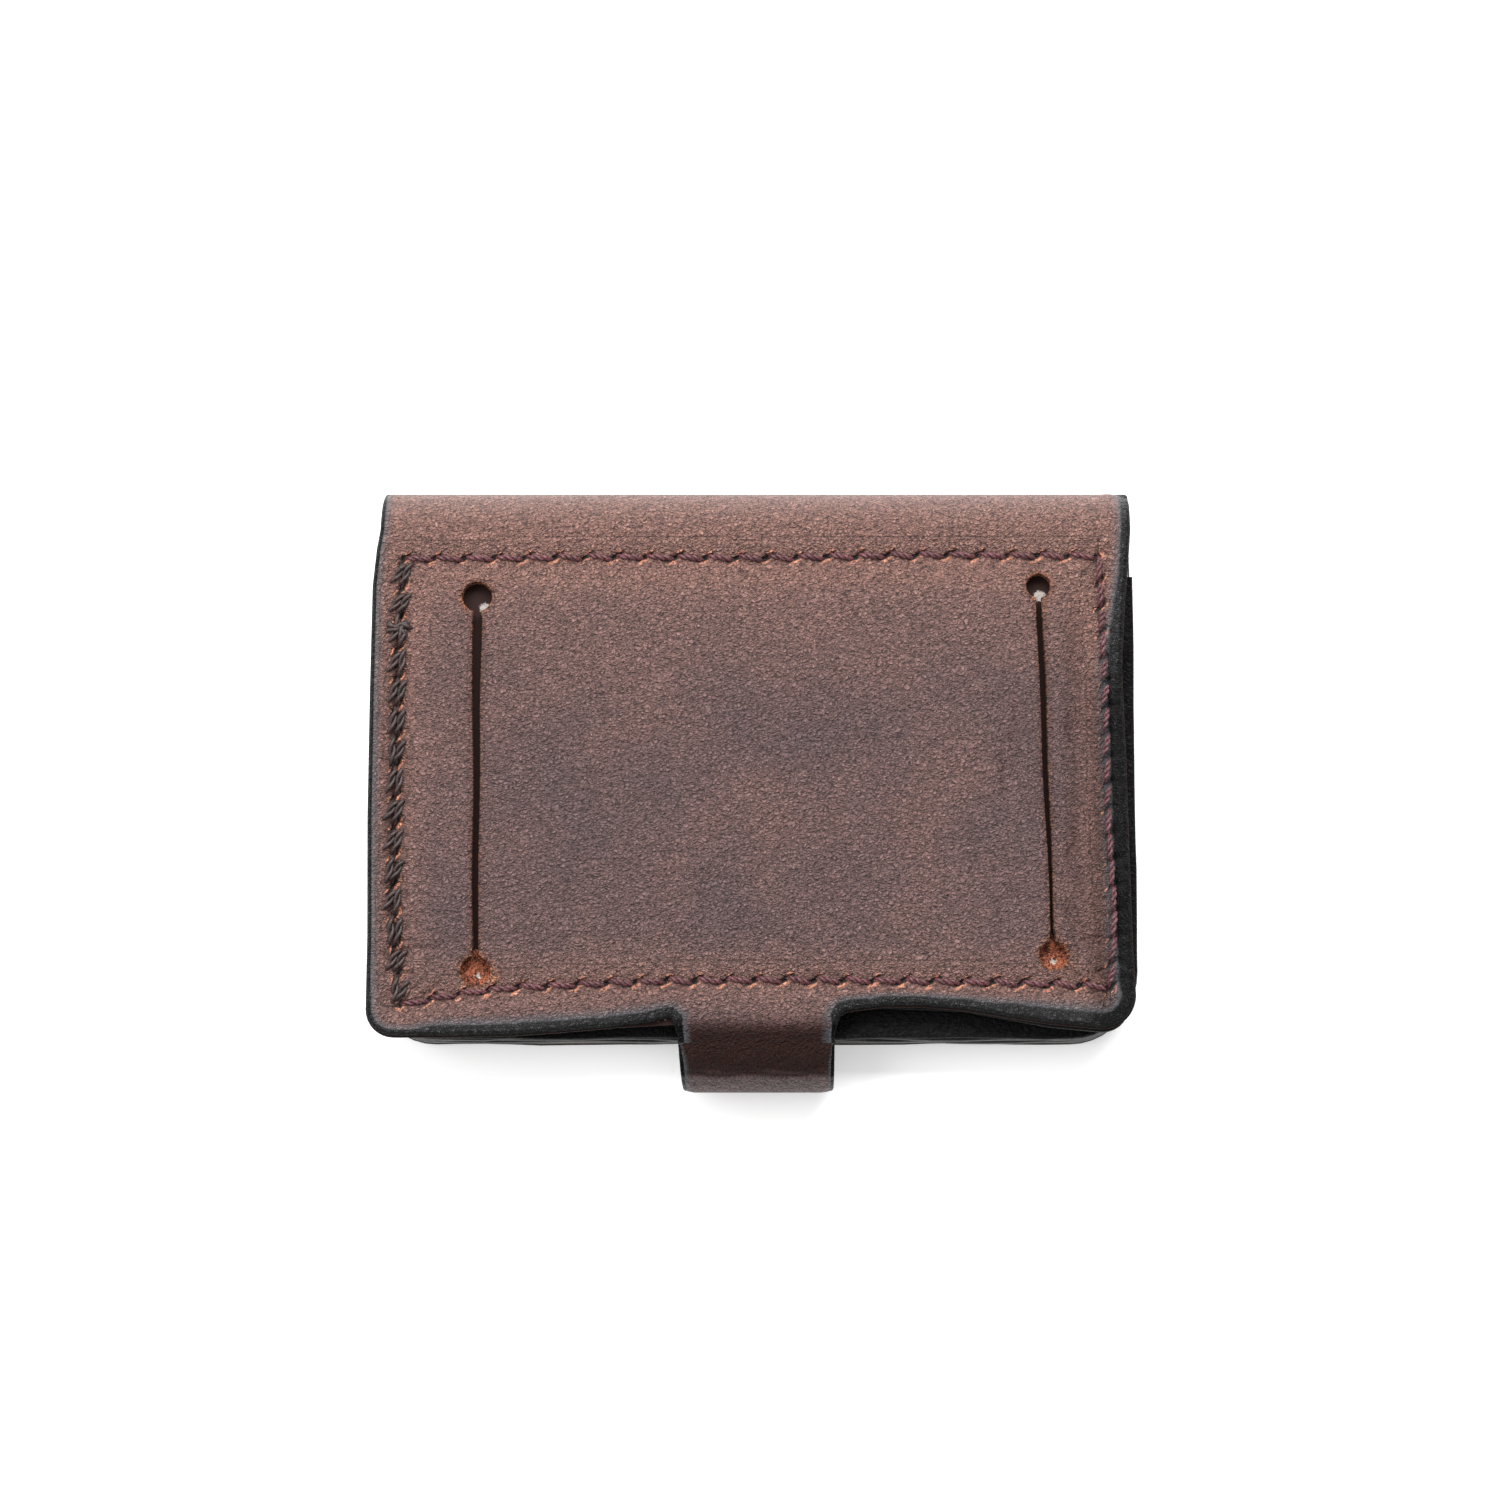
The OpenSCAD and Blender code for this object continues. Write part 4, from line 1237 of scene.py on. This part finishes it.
slot_z = lower_z("lid_slot_panel")
inner_left = seam_places([(-50.8, SLOT_END - 1.0), (-51.0, 0.0), (-50.4, -33.0)], 13)
inner_mouth = seam_places([(-50.0, -34.0), (-36.0, -32.4), (0.0, -31.4), (40.0, -31.9), (50.0, -32.3)], 24)
inner_right = seam_places([(50.7, -32.0), (50.6, 0.0), (50.3, SLOT_END - 1.0)], 14)
lid_seam_inner = sewn("lid_seam_inner", [inner_left, inner_mouth, inner_right], lambda p: slot_z, THREAD,
                      Length=0.0036, Thickness=0.00085, Side=-1.0, Seed=5)
lining_z = lower_z("lid_lining")
lid_seam_lining = sewn("lid_seam_lining", [SEAMS["top"]], lambda p: lining_z - 0.1, THREAD,
                       Length=0.0036, Thickness=0.00085, Side=-1.0, Seed=6)
base_seam = sewn("base_seam", [BASE_HOLES], lambda p: 0.42, THREAD,
                 Length=0.0037, Thickness=0.0008, Side=-1.0, Seed=7)
pocket_seam = sewn("pocket_seam", [BASE_HOLES], lambda p: upper_z("pocket_panel"), THREAD,
                   Length=0.0037, Thickness=0.0009, Seed=8)


# ---- Each piece on its body ----

def on_spine(angle, y=SPINE_Y, r=SPINE_R, lift=0.0):
    """A place on the outside of a bend, at an angle up from level."""
    a = math.radians(angle)
    return (0.0, (y + r * math.cos(a)) * MM, (lift + r + r * math.sin(a)) * MM)


def on_tab(angle):
    return on_spine(angle, TAB_Y, TAB_R, TAB_LIFT)


def settle(made, replaced, body):
    """Hides the parts that a piece stands for and puts the piece on the body that it rides on; a piece
    given two bodies is left where it lies, with its transform applied.
    """
    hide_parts(*replaced)
    if isinstance(body, str):
        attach(made, body)
    else:
        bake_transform(made)


settle(base_skin, ["base_leather", "spine_leather"],
       ("base", "spine", on_spine(-86), on_spine(-4)))
settle(lid_skin, ["lid_leather", "spine_leather"],
       ("spine", "lid", on_spine(4), on_spine(86)))
settle(tab_skin, ["tab_leather"], ("lid", "tab", on_tab(118), on_tab(176)))
settle(tab_strip, ["tab_backing"], "tab")
settle(lid_lining, ["lid_lining"], "lid")
settle(slot_panel, ["lid_slot_panel"], "lid")
settle(lid_seam, ["lid_thread"], "lid")
settle(lid_seam_left, ["lid_thread_left"], "lid")
settle(lid_seam_inner, ["lid_thread_inner"], "lid")
settle(lid_seam_lining, ["lid_thread_lining"], "lid")
settle(base_lining, ["base_lining"], "base")
settle(pocket, ["pocket_panel"], "base")
settle(base_seam, ["base_thread"], "base")
settle(pocket_seam, ["pocket_thread"], "base")
for welt, strip in welts.items():
    settle(strip, [welt], "base")
for magnet in ("catch_magnet", "tab_magnet"):
    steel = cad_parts[magnet]
    steel.data.materials.clear()
    steel.data.materials.append(NICKEL)


# ---- Floor, light and camera ----

def floor():
    mesh = bpy.data.meshes.new("table_top")
    r = 1.6
    z = -0.0002
    mesh.from_pydata([(-r, -r, z), (r, -r, z), (r, r, z), (-r, r, z)], [], [(0, 1, 2, 3)])
    made, tree, shader = new_material("white_card")
    plug(tree, shader, {"Base Color": linear("#f4f4f4"), "Roughness": 0.9, "Specular IOR Level": 0.1,
                        "Emission Color": (1, 1, 1, 1), "Emission Strength": 0.36})
    mesh.materials.append(made)
    in_scene("table_top", mesh)


floor()
world = bpy.data.worlds.new("studio")
world.use_nodes = True
world.node_tree.nodes["Background"].inputs[0].default_value = (1, 1, 1, 1)
world.node_tree.nodes["Background"].inputs[1].default_value = 0.62
bpy.context.scene.world = world


def softbox(name, place, size, power):
    """A soft rectangular light that faces the case."""
    data = bpy.data.lights.new(name, "AREA")
    data.shape = "RECTANGLE"
    data.size, data.size_y = size
    data.energy = power
    lamp = in_scene(name, data)
    lamp.location = place
    lamp.rotation_euler = (-Vector(place)).to_track_quat("-Z", "Y").to_euler()


softbox("softbox_back", (0.0, 0.62, 0.85), (1.2, 0.5), 18.5)
softbox("softbox_left", (-0.8, 0.1, 0.8), (0.6, 0.8), 6.0)

VIEW_TILT = 80.0         # degrees above the table, from the mouth side
PICTURE_W = 214.3 * MM   # width of table that the picture spans
lens = bpy.data.cameras.new("camera")
lens.lens = 120.0
lens.sensor_width = 36.0
camera = in_scene("camera", lens)
reach = PICTURE_W * lens.lens / lens.sensor_width
look_at = Vector((-0.43, 1.66, CASE_T)) * MM
tilt = math.radians(VIEW_TILT)
back = Vector((0, -math.cos(tilt), math.sin(tilt)))
camera.location = look_at + back * reach
camera.rotation_euler = (math.radians(90 - VIEW_TILT), 0, 0)
bpy.context.scene.camera = camera
bpy.context.scene.view_settings.view_transform = "Standard"
